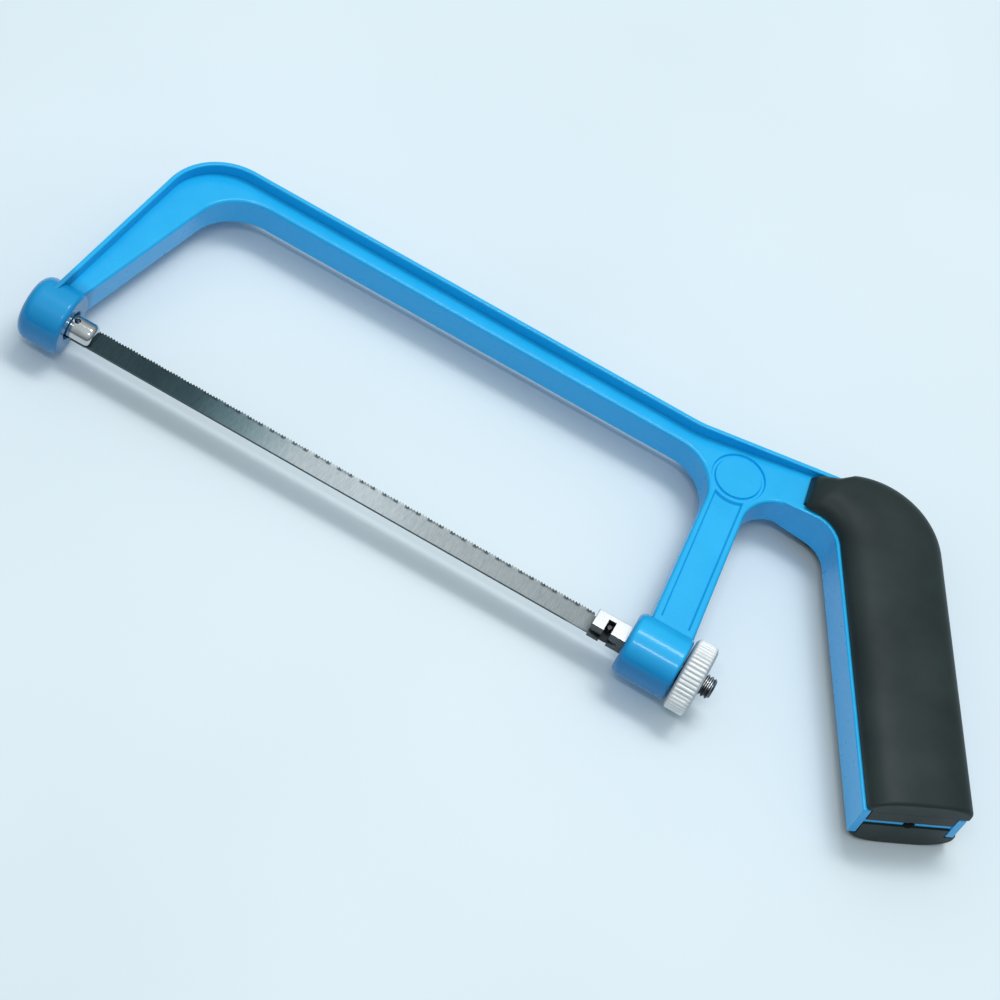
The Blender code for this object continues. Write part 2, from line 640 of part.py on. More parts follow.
def grip_cap(name, side):
    """Crowned skin of one grip half as a closed loft; side is +1 above the web, -1 below."""
    mesh = bpy.data.meshes.new(name)
    bm = bmesh.new()
    rings = []
    for (front_x, front_y), (back_x, back_y) in grip_sections():
        ring = [bm.verts.new((front_x * MM, front_y * MM, side * GRIP_FLOOR * MM))]
        for i in range(CROWN_POINTS + 1):
            share = (1 - cos(pi * i / CROWN_POINTS)) / 2
            x = front_x + (back_x - front_x) * share
            y = front_y + (back_y - front_y) * share
            ring.append(bm.verts.new((x * MM, y * MM, side * crown_height(x, y, share) * MM)))
        ring.append(bm.verts.new((back_x * MM, back_y * MM, side * GRIP_FLOOR * MM)))
        rings.append(ring)
    for first, second in zip(rings, rings[1:]):
        for i in range(len(first)):
            j = (i + 1) % len(first)
            bm.faces.new((first[i], first[j], second[j], second[i]))
    bm.faces.new(rings[0])
    bm.faces.new(rings[-1])
    bmesh.ops.recalc_face_normals(bm, faces=bm.faces)
    bm.to_mesh(mesh)
    bm.free()
    return add_object(name, mesh, PARTS)


def core_outline():
    """Filling of the channel between the two flanges."""
    clear = FLANGE_THICK + GAP
    start_x = BODY_END_X + GAP
    front = shift_path(arch_path(), -clear)
    front[0] = (start_x, front[0][1], 0)
    back = shift_path(handle_back_path(RIM_END_X), clear)
    rise_y = rim_inner_y(start_x) - (FLANGE_THICK - RIM_THICK) - GAP
    back[0] = (start_x, rise_y, 0)
    return path_points(back) + path_points(front)[::-1]


def heights(side, low, high):
    """A height range above the web, or its mirror image below."""
    return sorted((side * low, side * high))


def build_grip(label, side, parent):
    grip = grip_cap("grip_" + label, side)
    core = plate("grip_core_" + label, core_outline(), *heights(side, WEB_HALF + GAP, GRIP_FLOOR + 0.5))
    boolean(grip, core, "UNION")
    flange_line = [(GRIP_START[0][0] - 1, ARCH_Y, 0)] + arch_path()[1:]
    keep_out = band_outline(flange_line, 1, -FLANGE_THICK - GAP)
    flange_room = plate("flange_room_" + label, keep_out, *heights(side, 1, FRONT_FLANGE_HALF + GAP))
    rim_band = band_outline(back_path(RIM_END_X + GAP), -3, RIM_THICK + GAP)
    rim_room = plate("rim_room_" + label, rim_band, *heights(side, 1, RIM_HALF + GAP))
    for room in (flange_room, rim_room):
        boolean(grip, room)
    for place, down in SCREW_PLACES:
        x, y = handle_point(SCREW_ACROSS, down)
        name = label + "_" + place
        if side > 0:
            post = rod("post_" + name, POST_RADIUS, -WEB_HALF, WEB_HALF + 2, "Z", (x, y, 0))
            boolean(grip, post, "UNION")
            boolean(grip, rod("pilot_" + name, PILOT_RADIUS, -3, SCREW_TIP + GAP, "Z", (x, y, 0)))
        else:
            boolean(grip, rod("shank_hole_" + name, PILOT_RADIUS, -8, 0, "Z", (x, y, 0)))
            boolean(grip, rod("head_well_" + name, HEAD_WELL_RADIUS, -GRIP_HALF - 2,
                              SCREW_HEAD_SEAT + GAP, "Z", (x, y, 0)))
    end_hole = rod("end_hole_" + label, END_HOLE_RADIUS, -END_HOLE_DEPTH, 2)
    place_on_handle_end(end_hole)
    boolean(grip, end_hole)
    finish_part(grip, GRIP_PLASTIC, parent, 50.0)


def build_grip_screws(parent):
    head_low = SCREW_HEAD_SEAT - SCREW_HEAD_HEIGHT
    profile = [(0, SCREW_TIP), (0.5, SCREW_TIP), (SCREW_SHANK_RADIUS, SCREW_TIP - 2),
               (SCREW_SHANK_RADIUS, SCREW_HEAD_SEAT), (SCREW_HEAD_RADIUS, SCREW_HEAD_SEAT),
               (SCREW_HEAD_RADIUS, head_low + 0.7), (SCREW_HEAD_RADIUS - 0.9, head_low), (0, head_low)]
    for place, down in SCREW_PLACES:
        x, y = handle_point(SCREW_ACROSS, down)
        screw = turned("grip_screw_" + place, profile, "Z", PARTS, SMALL_SEGMENTS)
        screw.location = (x * MM, y * MM, 0)
        for turn in (0, pi / 2):
            blade = box("drive_slot", (-1.7, -0.35, head_low - 1), (1.7, 0.35, head_low + 1.1))
            blade.location = screw.location
            blade.rotation_euler = (0, 0, turn)
            boolean(screw, blade)
        finish_part(screw, SCREW_STEEL, parent)


def build_saw():
    saw = bpy.data.objects.new("saw_origin", None)
    PARTS.objects.link(saw)
    saw.location = [-value * MM for value in ORIGIN]
    build_frame(saw)
    build_front_stud(saw)
    build_blade(saw)
    build_blade_pins(saw)
    build_tension_bolt(saw)
    build_thumb_nut(saw)
    build_grip("upper", 1, saw)
    build_grip("lower", -1, saw)
    build_grip_screws(saw)
    for cutter in CUTTERS.objects:
        cutter.parent = saw


clear_scene()
PARTS = new_collection("junior_hacksaw")
CUTTERS = new_collection("cutters")
build_saw()
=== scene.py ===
"""Looks of a junior hacksaw lying on its side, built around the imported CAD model.

Shapes are worked out in millimetres about the front blade pin, on the frame's middle plane:
+X along the blade to the handle, +Y to the frame's back, +Z through the thickness.
"""
from math import acos, atan2, ceil, cos, degrees, hypot, pi, radians, sin, sqrt, tan

import bmesh
import bpy
from mathutils import Matrix, Vector


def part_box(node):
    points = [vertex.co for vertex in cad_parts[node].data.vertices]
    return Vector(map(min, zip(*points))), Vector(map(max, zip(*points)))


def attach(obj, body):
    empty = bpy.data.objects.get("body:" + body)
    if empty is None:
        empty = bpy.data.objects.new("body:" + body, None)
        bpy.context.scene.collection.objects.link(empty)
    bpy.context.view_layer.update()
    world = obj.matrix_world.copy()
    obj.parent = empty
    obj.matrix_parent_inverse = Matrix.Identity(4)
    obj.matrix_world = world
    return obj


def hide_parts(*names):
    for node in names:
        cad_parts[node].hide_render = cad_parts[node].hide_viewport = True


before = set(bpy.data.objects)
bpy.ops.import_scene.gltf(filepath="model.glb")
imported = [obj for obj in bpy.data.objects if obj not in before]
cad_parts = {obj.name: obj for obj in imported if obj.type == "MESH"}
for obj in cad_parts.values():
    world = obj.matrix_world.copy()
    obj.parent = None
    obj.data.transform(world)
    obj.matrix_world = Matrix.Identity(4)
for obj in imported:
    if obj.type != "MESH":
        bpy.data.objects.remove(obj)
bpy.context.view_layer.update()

MM = 0.001
TAU = 2 * pi


def box_mm(node):
    """Lowest and highest corner of a CAD node."""
    low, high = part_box(node)
    return [value / MM for value in low], [value / MM for value in high]


def middle_mm(node):
    """Middle of a CAD node's box."""
    low, high = box_mm(node)
    return [(a + b) / 2 for a, b in zip(low, high)]


# ---- places and sizes taken from the CAD model (mm)
PIN = middle_mm("blade_pin_front")
FRAME_LOW, FRAME_HIGH = box_mm("frame")
ORIGIN = Vector((PIN[0], PIN[1], (FRAME_LOW[2] + FRAME_HIGH[2]) / 2))
PIN_SPACING = middle_mm("blade_pin_rear")[0] - PIN[0]
BLADE_Z = middle_mm("blade")[2] - ORIGIN.z


def span(node, axis):
    """Lowest and highest place of a CAD node along one axis, about the front pin."""
    low, high = box_mm(node)
    return low[axis] - ORIGIN[axis], high[axis] - ORIGIN[axis]


STUD_START, STUD_END = span("front_stud", 0)
NUT_START, NUT_END = span("thumb_nut", 0)
NUT_RADIUS = span("thumb_nut", 2)[1]
BAR_START, BOLT_END = span("tension_bolt", 0)
BLADE_HALF_WIDTH = span("blade", 1)[1]
GRIP_HALF = span("grip_upper", 2)[1]

# ---- fits and small steps (mm)
GAP = 0.3
HIDDEN_STEP = 0.04  # keeps two faces that would lie in one plane apart
HIDDEN_EDGE = 0.1  # edge rounding of plates that end up inside others
MERGE_DISTANCE = 0.001
POLE_RADIUS = 1e-4  # stands for no radius at all in a turned profile
ARC_STEP = 2.5  # degrees
STUD_SEGMENTS, FINE_SEGMENTS, SMALL_SEGMENTS, PEEPHOLE_SEGMENTS = 72, 48, 40, 32
REACH, CLEAR = 5.0, 2.0  # how far cutters go past a piece
MITRE_LIMIT = 0.3  # keeps the inset of a sharp corner from running away
POINT_SLACK = 1e-9

# ---- the casting's body, rim, panel and medallion (mm)
BODY_HALF = 4.5
BODY_EDGE = 0.9
BODY_END_X = 175.0
BODY_OVERLAP = 0.1  # how far the body reaches into the rim
BEAM_INNER_Y = 56.1
BEAM_OUTER_Y = 61.7
TOE_FOOT = (-8.5, 1.5)
TOE_CORNER_X = -0.95
TOE_RADIUS = 16.4
TOE_INNER_FOOT = (-3.5, 1.5)
TOE_INNER_X = 10.4
TOE_INNER_RADIUS = 14.1
BEND_X = 141.5
BEND_RADIUS = 25.0
RISE_ANGLE = 11.8  # degrees
RIM_HALF = 8.1
RIM_THICK = 1.25
RIM_EDGE = 0.4
RIM_END_X = 177.5
RIM_FALL_X = 171.0  # from here to its end the rim comes down
RIM_FALL = 0.22  # share of its height that it loses
REAR_ARM_FRONT = (149.75, 153.7)  # x of the arm's edge at the beam and at the boss
REAR_ARM_BACK = (160.05, 165.2)
ARM_FOOT_Y = 1.5
OPENING_RADIUS = 12.4
ARCH_Y = 55.0
ARCH_FRONT_RADIUS = 9.4
ARCH_REAR_RADIUS = 8.5
MEDAL_CENTRE = (155.2, 54.9)
MEDAL_GROOVE = (5.8, 7.0)  # inner and outer radius
GROOVE_DEPTH = 0.55
GROOVE_LEAN = 0.3  # how far the groove's walls slope
GROOVE_CLEAR = 1.0  # how far the groove's cutter stands out of the face
PANEL_DEPTH = 0.7
PANEL_LEAN = 0.45
PANEL_CLEAR = 1.1
PANEL_MARGIN = 1.8
PANEL_FOOT_Y = 8.2
PANEL_TOP_RADIUS = 7.35
PANEL_CORNER_SHARE = 0.75  # how far below the medallion's centre the panel's corners lie
PANEL_TOP_STEPS = 12

# ---- the bosses and what passes through them (mm)
FRONT_BOSS = (-12.6, -1.2, 8.2)  # start, end, radius
FRONT_BOSS_ROUNDS = (3.0, 1.3)  # of its nose and of its blade side
SOCKET_RADIUS = 3.45
SOCKET_MOUTH = (3.8, 0.6, 0.4)  # radius, depth, round
SOCKET_ROOM_X = -11.5
REAR_BOSS = (150.8, 165.1, 8.0)
REAR_BOSS_ROUNDS = (1.7, 0.9)  # of its blade side and of its nut side
BAR_HOLE_END_X = 160.0
THREAD_HOLE = (3.1, 156.4)  # radius, start

# ---- the handle (mm)
HANDLE_START_X = 173.5
HANDLE_CORNER_X = 181.6
HANDLE_RAKE = 62.0  # degrees
HANDLE_LENGTH = 76.0
HANDLE_BACK_RADIUS = 19.2
FRAME_WIDTH = 25.9
FLANGE_THICK = 2.0
FRONT_FLANGE_HALF = 5.8
FRONT_FLANGE_EDGE = 0.45
FRONT_FLANGE_START_X = 166.0
FLANGE_RISE = (168.0, 8.0)  # where the front flange starts to rise out of the body, over what length
FLANGE_SINK = 0.02  # how far under the body's face it starts, as a share of its height
REAR_FLANGE_HALF = 4.6
REAR_FLANGE_EDGE = 0.4
REAR_FLANGE_INSET = 0.05
WEB_HALF = 0.8
WEB_SETBACK = 0.4
END_HOLE_RADIUS = 1.5
END_HOLE_DEPTH = 7.0

# ---- the blade and what holds it (mm)
STUD_RADIUS = 3.15
STUD_ROUNDS = (0.4, 1.6)
STUD_SLOT = (-4.8, 8.0)  # where the blade's slot starts, and a place past the stud's end
SLOT_HALF = 0.6
BOLT_TRAVEL = 1.5
PEEPHOLE_RADIUS = 0.8
PIN_RADIUS = 0.7
PIN_HALF = 2.2
PIN_ROOM = PIN_RADIUS + GAP  # half of the notch or channel that a pin lies in
PIN_ROUND = 0.2
BLADE_HALF_THICK = 0.3
BLADE_HOLE = (0.85, 3.0)  # radius, half length of the cutter
BLADE_END_STEPS = 24
TEETH_INSET, TOOTH_PITCH, TOOTH_DEPTH = 4.0, 0.79, 0.5
TOOTH_EDGE_HALF = 0.24
TIP_SHARE = 0.25  # how far along its pitch a tooth has its tip
TIP_DROP = 0.02
SET_STRIP = 1.1  # height of the strip that the teeth's set bends
ROOT_SET = 0.7  # how far the teeth's roots follow the set
WAVE_LENGTH, WAVE_SIZE = 6.2, 0.12  # sideways set of the blade's teeth
BAR_SIZE = (4.8, 5.8)
BAR_EDGE = 0.18
BAR_END_X = 158.5
THREAD_OVERLAP = 0.3
THREAD_RADIUS = 2.8
THREAD_PITCH = 1.0
THREAD_DEPTH = 0.5
THREAD_FLANK = (1.25, 1.5)  # height and slope of the thread's ridge before it is cut flat
RINGS_PER_TURN = 10
BOLT_CHAMFER = (0.75, 1.2)  # depth and slope
NUT_BORE_RADIUS = 3.1
NUT_CHAMFER = 0.35
NUT_EDGE = 0.75
NUT_SHOULDER = (0.25, 0.6, 0.55)  # drop, share of the edge, share of the knurl's depth
NUT_FACE_DROP = 0.4
KNURLS = 48
KNURL_DEPTH = 0.42
KNURL_POWER = 2.5  # the higher, the narrower the valleys
POINTS_PER_KNURL = 6
KNURL_ROWS = 6

# ---- the grip (mm)
GRIP_SIDE = 6.1
GRIP_FLOOR = 4.85
GRIP_FLOOR_RISE = 0.2
GRIP_NOSE = 5.3
GRIP_NOSE_LENGTH = 8.0
GRIP_START = ((170.9, 65.6), (172.5, 55.8))
GRIP_START_BACK = 0.2  # how far before the rim's end the back line turns
GRIP_FRONT_INSET = 0.8
GRIP_WIDTH = 26.8
GRIP_BACK_CENTRE_Y = 52.9
GRIP_BACK_RADIUS = 20.4
GRIP_BACK_START = 118.0  # degrees
GRIP_BACK_STEPS = 48
GRIP_END_EDGE = 1.0
GRIP_END_STEPS = 5
GRIP_END_DRAW = 0.8  # how far the rounded end is drawn in, as a share of its edge
FAN_SECTIONS = 40
STRAIGHT_SECTIONS = 14
SECTION_STEPS = 36
CROWN_POWER = 3.2
CORE_OVERLAP = 0.5
SCREWS = ("grip_screw_top", "grip_screw_end")
SCREW_ACROSS = 13.4
SCREW_WELL = (3.2, -14.0, -5.9)  # radius, low end, floor
RIM_ROOM_OUT = 3.0
FLANGE_ROOM_OUT = 1.0
ROOM_LOW = 1.0

# ---- colours (linear red, green, blue)
PAINT_TONES = ((0.006, 0.39, 0.75), (0.012, 0.42, 0.79))
# painted shade: deeper blue for upright faces, which the light from above reaches less
PAINT_UPRIGHT_SHADE = (0.003, 0.38, 0.80)
# painted shade on the upright flanks of both bosses
PAINT_BOSS_SIDE_SHADE = (0.001, 0.18, 0.44)
# painted shade over the whole front boss
PAINT_FRONT_BOSS_SHADE = (0.001, 0.20, 0.46)
CHROME_COLOUR = (0.66, 0.67, 0.66)
# painted shade: the pins are near black so they read as shaded inside the notches
PIN_SHADE_COLOUR = (0.10, 0.11, 0.12)
SCREW_COLOUR = (0.6, 0.61, 0.62)
# painted shade on the holder bar's upright sides
HOLDER_SIDE_SHADE = ((0.05, 0.06, 0.065), (0.11, 0.12, 0.125))
# painted highlight on the holder bar's upper and lower faces
HOLDER_FACE_HIGHLIGHT = ((0.80, 0.81, 0.82), (0.90, 0.91, 0.92))
BLADE_WEAR = ((0.80, 0.80, 0.80), (1.15, 1.15, 1.15))
# a bluer tint of the blade towards the toe, and the tint further along
TOE_TINTS = ((0.50, 0.96, 1.08), (0.60, 1.04, 1.18))
BLADE_BODY_TINT = (0.90, 1.0, 1.03)
# painted shade of the teeth's wavy set: dark dashes along the tooth line
TOOTH_SET_SHADE_COLOUR = (0.045, 0.058, 0.06)
# painted shade along the blade's back edge
BACK_EDGE_SHADE_COLOUR = (0.07, 0.085, 0.088)
NUT_TONES = ((0.76, 0.79, 0.79), (0.88, 0.90, 0.90))
# painted shade in the knurl valleys
NUT_VALLEY_SHADE = (0.50, 0.53, 0.54)
GRIP_TONES = ((0.012, 0.020, 0.020), (0.020, 0.031, 0.030))
FLOOR_TONES = ((0.645, 0.73, 0.77), (0.685, 0.77, 0.81))
HORIZON_COLOUR = (0.10, 0.12, 0.14)
ZENITH_COLOUR = (0.70, 0.78, 0.82)
BACKDROP_COLOUR = (0.34, 0.43, 0.49)  # what is seen beyond the floor

# painted reflection: grey of the blade at places along it, dark at the toe and light in the middle, with
# painted shade at the last stop where it lies in the holder's notch (mm from the front pin)
BLADE_PAINTED_LIGHT_TONES = ((22, 0.05), (34, 0.075), (46, 0.20), (60, 0.42), (80, 0.48), (98, 0.36), (140, 0.26),
               (144, 0.03))

# ---- places where a look changes (mm from the front pin)
# where the painted shade on the bosses ends: across the frame, and towards the handle
BOSS_TOP_Y = (7.0, 10.0)
HANDLE_SIDE_X = (167.0, 169.0)
# where the painted shade of the front boss fades out
FRONT_BOSS_X = (-1.0, 0.5)
TOE_TINT_FADE_X = (34.0, 62.0)
# where the painted shade of the teeth's set lies
TOOTH_LINE_Y = (1.7, 2.1)
# where the painted shade of the back edge lies, and where it stops at the holder
BACK_EDGE_Y = (-2.97, -2.9)
HOLDER_SHARE = (0.93, 0.94)  # of the way between the pins
# where the painted valley shade starts and ends
VALLEY_RADII = (0.42, 0.08)  # below the nut's outer radius

# ---- light and camera
# name, place (m), size (m), power (W), whether it shows in reflections
LIGHTS = (("overhead_softbox", (0.16, 0.40, 1.15), (0.6, 0.5), 4.4, False),
          ("near_tube", (-0.02, -0.50, 1.1), (0.5, 0.10), 2.2, True),
          ("far_card", (-0.02, 0.34, 1.2), (0.6, 0.2), 3.4, True))
FLOOR_HALF = 3.0  # m
FLOOR_SQUARES = 8
CAMERA_PLACE = (150.4, -349.6, 534.3)  # mm from the front pin
CAMERA_TURN = (32.25, -13.41, 26.78)  # degrees
CAMERA_LENS = 97.4
SENSOR_WIDTH = 36.0
CLIP_START = 0.01  # m


# ---- mesh helpers
def to_world(point):
    """A point in millimetres about the front pin as a place in the scene."""
    return (Vector(point) + ORIGIN) * MM


def add_object(name, data):
    obj = bpy.data.objects.new(name, data)
    bpy.context.scene.collection.objects.link(obj)
    return obj


def add_mesh(name, bm):
    mesh = bpy.data.meshes.new(name)
    bm.to_mesh(mesh)
    bm.free()
    return add_object(name, mesh)


def new_object(name, bm):
    """Make an object from a bmesh drawn in millimetres about the front pin."""
    for vert in bm.verts:
        vert.co = to_world(vert.co)
    bmesh.ops.recalc_face_normals(bm, faces=bm.faces)
    return add_mesh(name, bm)


def rings_mesh(rings, closed_loop=False):
    """Skin a list of equal rings of points, with closed ends or as one closed loop."""
    bm = bmesh.new()
    rows = [[bm.verts.new(point) for point in ring] for ring in rings]
    pairs = list(zip(rows, rows[1:]))
    if closed_loop:
        pairs.append((rows[-1], rows[0]))
    for first, second in pairs:
        for i in range(len(first)):
            j = (i + 1) % len(first)
            bm.faces.new((first[i], first[j], second[j], second[i]))
    if not closed_loop:
        bm.faces.new(rows[0])
        bm.faces.new(rows[-1])
    return bm


def apply_modifiers(obj):
    """Replace an object's mesh by its evaluated one."""
    depsgraph = bpy.context.evaluated_depsgraph_get()
    mesh = bpy.data.meshes.new_from_object(obj.evaluated_get(depsgraph))
    obj.modifiers.clear()
    old = obj.data
    obj.data = mesh
    bpy.data.meshes.remove(old)


def combine(target, others, operation):
    """Join or cut with each helper in turn; the helpers are used up."""
    for other in others:
        modifier = target.modifiers.new("boolean", "BOOLEAN")
        modifier.operation = operation
        modifier.solver = "EXACT"
        modifier.object = other
    apply_modifiers(target)
    for other in others:
        bpy.data.objects.remove(other, do_unlink=True)


def merge_close(obj):
    """Join points that lie almost on each other."""
    bm = bmesh.new()
    bm.from_mesh(obj.data)
    bmesh.ops.remove_doubles(bm, verts=bm.verts, dist=MERGE_DISTANCE * MM)
    bm.to_mesh(obj.data)
    bm.free()


def finish_piece(obj, body, nodes, material, angle=32.0):
    """Give a piece its material and smooth shading with flat large faces; tie it to the CAD model."""
    obj.data.materials.clear()
    obj.data.materials.append(material)
    obj.data.shade_smooth()
    obj.data.set_sharp_from_angle(angle=radians(angle))
    weighted = obj.modifiers.new("weighted", "WEIGHTED_NORMAL")
    weighted.keep_sharp = True
    apply_modifiers(obj)
    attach(obj, body)
    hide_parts(*nodes)


# ---- plane geometry (mm)
def unit(dx, dy):
    length = hypot(dx, dy)
    return dx / length, dy / length


def corner_arc(before, corner, after, radius):
    """Points of the round that replaces a corner between two straight runs."""
    in_x, in_y = unit(before[0] - corner[0], before[1] - corner[1])
    out_x, out_y = unit(after[0] - corner[0], after[1] - corner[1])
    half = acos(max(-1.0, min(1.0, in_x * out_x + in_y * out_y))) / 2
    mid_x, mid_y = unit(in_x + out_x, in_y + out_y)
    reach = radius / sin(half)
    centre = (corner[0] + mid_x * reach, corner[1] + mid_y * reach)
    run = radius / tan(half)
    start = atan2(corner[1] + in_y * run - centre[1], corner[0] + in_x * run - centre[0])
    end = atan2(corner[1] + out_y * run - centre[1], corner[0] + out_x * run - centre[0])
    sweep = (end - start + pi) % TAU - pi
    steps = max(2, ceil(degrees(abs(sweep)) / ARC_STEP))
    return [(centre[0] + radius * cos(start + sweep * i / steps),
             centre[1] + radius * sin(start + sweep * i / steps)) for i in range(steps + 1)]


def path_points(corners):
    """An open path through (x, y, radius) corners, with each radius rounded."""
    points = [corners[0][:2]]
    for before, corner, after in zip(corners, corners[1:], corners[2:]):
        if corner[2] > 0:
            points += corner_arc(before, corner, after, corner[2])
        else:
            points.append(corner[:2])
    points.append(corners[-1][:2])
    return points


def shift_path(corners, distance):
    """The same path moved to its right by a distance; radii grow or shrink to match."""
    count = len(corners)
    normals = []
    for first, second in zip(corners, corners[1:]):
        dx, dy = unit(second[0] - first[0], second[1] - first[1])
        normals.append((dy, -dx))
    shifted = []
    for i, (x, y, radius) in enumerate(corners):
        before = normals[max(i - 1, 0)]
        after = normals[min(i, count - 2)]
        scale = distance / (1 + before[0] * after[0] + before[1] * after[1])
        right_turn = before[0] * after[1] - before[1] * after[0] < 0
        new_radius = radius - distance if right_turn else radius + distance
        shifted.append((x + (before[0] + after[0]) * scale, y + (before[1] + after[1]) * scale,
                        new_radius if radius > 0 else 0))
    return shifted


def band_outline(corners, inner, outer):
    """Closed outline of the strip between two right-hand shifts of one path."""
    return path_points(shift_path(corners, inner)) + path_points(shift_path(corners, outer))[::-1]


def handle_point(across, down):
    """A point given across the handle from its front line, and down along it."""
    rake = radians(HANDLE_RAKE)
    return (HANDLE_CORNER_X + across * sin(rake) + down * cos(rake),
            ARCH_Y + across * cos(rake) - down * sin(rake))


def inset(outline, distance):
    """The outline moved inwards by a small distance."""
    pairs = zip(outline, outline[1:] + outline[:1])
    side = 1 if sum(a[0] * b[1] - b[0] * a[1] for a, b in pairs) > 0 else -1
    result = []
    for i, (x, y) in enumerate(outline):
        before = outline[i - 1]
        after = outline[(i + 1) % len(outline)]
        in_x, in_y = unit(x - before[0], y - before[1])
        out_x, out_y = unit(after[0] - x, after[1] - y)
        nx, ny = -(in_y + out_y) * side, (in_x + out_x) * side
        scale = distance * 2 / max(MITRE_LIMIT, nx * nx + ny * ny)
        result.append((x + nx * scale, y + ny * scale))
    return result


# ---- solids (mm)
def rounded_plate(name, outline, low, high, edge, steps=4):
    """A flat solid with rounded upper and lower edges."""
    rings = []
    for i in range(steps + 1):
        angle = pi / 2 * i / steps
        ring = inset(outline, edge * (1 - sin(angle)))
        rings.append([(x, y, low + edge * (1 - cos(angle))) for x, y in ring])
    top = [[(x, y, low + high - z) for x, y, z in ring] for ring in rings[::-1]]
    return new_object(name, rings_mesh(rings + top))


def block(name, low, high):
    """A box between two corners."""
    bm = bmesh.new()
    bmesh.ops.create_cube(bm, size=1.0)
    bmesh.ops.scale(bm, verts=bm.verts, vec=[b - a for a, b in zip(low, high)])
    bmesh.ops.translate(bm, verts=bm.verts, vec=[(a + b) / 2 for a, b in zip(low, high)])
    return new_object(name, bm)


def turned(name, profile, segments=96, axis="X", centre=(0, 0, 0), closed=False):
    """Turn (radius, station) points about X or Z; a closed profile makes a ring."""
    rings = []
    for radius, station in profile:
        reach = max(radius, POLE_RADIUS)
        ring = []
        for i in range(segments):
            across, up = reach * cos(TAU * i / segments), reach * sin(TAU * i / segments)
            point = (station, across, up) if axis == "X" else (across, up, station)
            ring.append([value + shift for value, shift in zip(point, centre)])
        rings.append(ring)
    bm = rings_mesh(rings, closed_loop=closed)
    bmesh.ops.remove_doubles(bm, verts=bm.verts, dist=MERGE_DISTANCE)
    return new_object(name, bm)


def rod(name, radius, low, high, rounds=(0, 0), segments=96, axis="X", centre=(0, 0, 0)):
    """A cylinder between two stations, with each of its two edges rounded if wished."""
    profile = path_points([(0, low, 0), (radius, low, rounds[0]), (radius, high, rounds[1]), (0, high, 0)])
    return turned(name, profile, segments, axis, centre)


# ---- materials
class Nodes:
    """A small builder for one material's node tree."""

    def __init__(self, name):
        self.material = bpy.data.materials.new(name)
        self.material.use_nodes = True
        self.tree = self.material.node_tree
        self.shader = self.tree.nodes["Principled BSDF"]
        self.coords = self.add("ShaderNodeTexCoord").outputs["Object"]

    def add(self, kind, **settings):
        node = self.tree.nodes.new(kind)
        for key, value in settings.items():
            setattr(node, key, value)
        return node

    def link(self, source, target):
        self.tree.links.new(source, target)

    def give(self, value, socket):
        """Set an input to a number or a colour, or link another node's output to it."""
        if isinstance(value, tuple):
            socket.default_value = (*value, 1.0)
        elif isinstance(value, float):
            socket.default_value = value
        else:
            self.link(value, socket)

    def set(self, **values):
        """Give the shader's inputs their values and links."""
        for key, value in values.items():
            self.give(value, self.shader.inputs[key.replace("_", " ")])

    def separate(self, vector):
        """The X, Y and Z sockets of a vector."""
        node = self.add("ShaderNodeSeparateXYZ")
        self.link(vector, node.inputs[0])
        return node.outputs

    def noise(self, size_mm, detail=3.0, stretch=None):
        """Noise whose blobs are about size_mm across, stretched along each axis if wished."""
        vector = self.coords
        if stretch:
            mapping = self.add("ShaderNodeMapping")
            mapping.inputs["Scale"].default_value = stretch
            self.link(vector, mapping.inputs["Vector"])
            vector = mapping.outputs["Vector"]
        node = self.add("ShaderNodeTexNoise")
        node.inputs["Scale"].default_value = 1 / (size_mm * MM)
        node.inputs["Detail"].default_value = detail
        node.inputs["Roughness"].default_value = 0.55
        self.link(vector, node.inputs["Vector"])
        return node.outputs["Factor" if "Factor" in node.outputs else "Fac"]

    def spread(self, source, low=0.0, high=1.0, from_low=0.3, from_high=0.7):
        """Map a factor onto a range of values."""
        node = self.add("ShaderNodeMapRange")
        ends = {"From Min": from_low, "From Max": from_high, "To Min": low, "To Max": high}
        for key, value in ends.items():
            node.inputs[key].default_value = value
        self.link(source, node.inputs["Value"])
        return node.outputs["Result"]

    def along(self, axis, places, low, high):
        """A value that goes from low to high between two places in millimetres along X or Y."""
        first, last = (to_world((place, place, 0))["XY".index(axis)] for place in places)
        return self.spread(self.separate(self.coords)[axis], low, high, first, last)

    def mix(self, factor, first, second, blend="MIX"):
        """Blend two colours by a factor; each of the three is a value or a socket."""
        node = self.add("ShaderNodeMix", data_type="RGBA", blend_type=blend)
        for value, key in ((factor, "Factor"), (first, 6), (second, 7)):
            self.give(value, node.inputs[key])
        return node.outputs[2]

    def tint(self, colour, factor):
        """One colour times another."""
        return self.mix(1.0, colour, factor, "MULTIPLY")

    def ramp(self, factor, stops):
        """Grey tone through (position, grey) stops."""
        node = self.add("ShaderNodeValToRGB")
        elements = node.color_ramp.elements
        while len(elements) < len(stops):
            elements.new(1.0)
        for element, (place, grey) in zip(elements, stops):
            element.position = place
            element.color = (grey, grey, grey, 1.0)
        self.link(factor, node.inputs["Fac"])
        return node.outputs["Color"]

    def maths(self, operation, first, second=0.0):
        node = self.add("ShaderNodeMath", operation=operation)
        self.give(first, node.inputs[0])
        self.give(second, node.inputs[1])
        return node.outputs[0]

    def product(self, first, second):
        return self.maths("MULTIPLY", first, second)

    def facing_up(self, low, high):
        """1 on faces that look up or down, 0 on upright ones."""
        normal = self.separate(self.add("ShaderNodeNewGeometry").outputs["Normal"])
        return self.spread(self.maths("ABSOLUTE", normal["Z"]), 0.0, 1.0, low, high)

    def bump(self, height, depth_mm, strength=1.0, normal=None):
        node = self.add("ShaderNodeBump")
        node.inputs["Strength"].default_value = strength
        node.inputs["Distance"].default_value = depth_mm * MM
        self.link(height, node.inputs["Height"])
        if normal:
            self.link(normal, node.inputs["Normal"])
        return node.outputs["Normal"]

    def edge_normal(self, radius_mm):
        """Normal that rounds off the inner and outer corners."""
        node = self.add("ShaderNodeBevel", samples=6)
        node.inputs["Radius"].default_value = radius_mm * MM
        return node.outputs["Normal"]


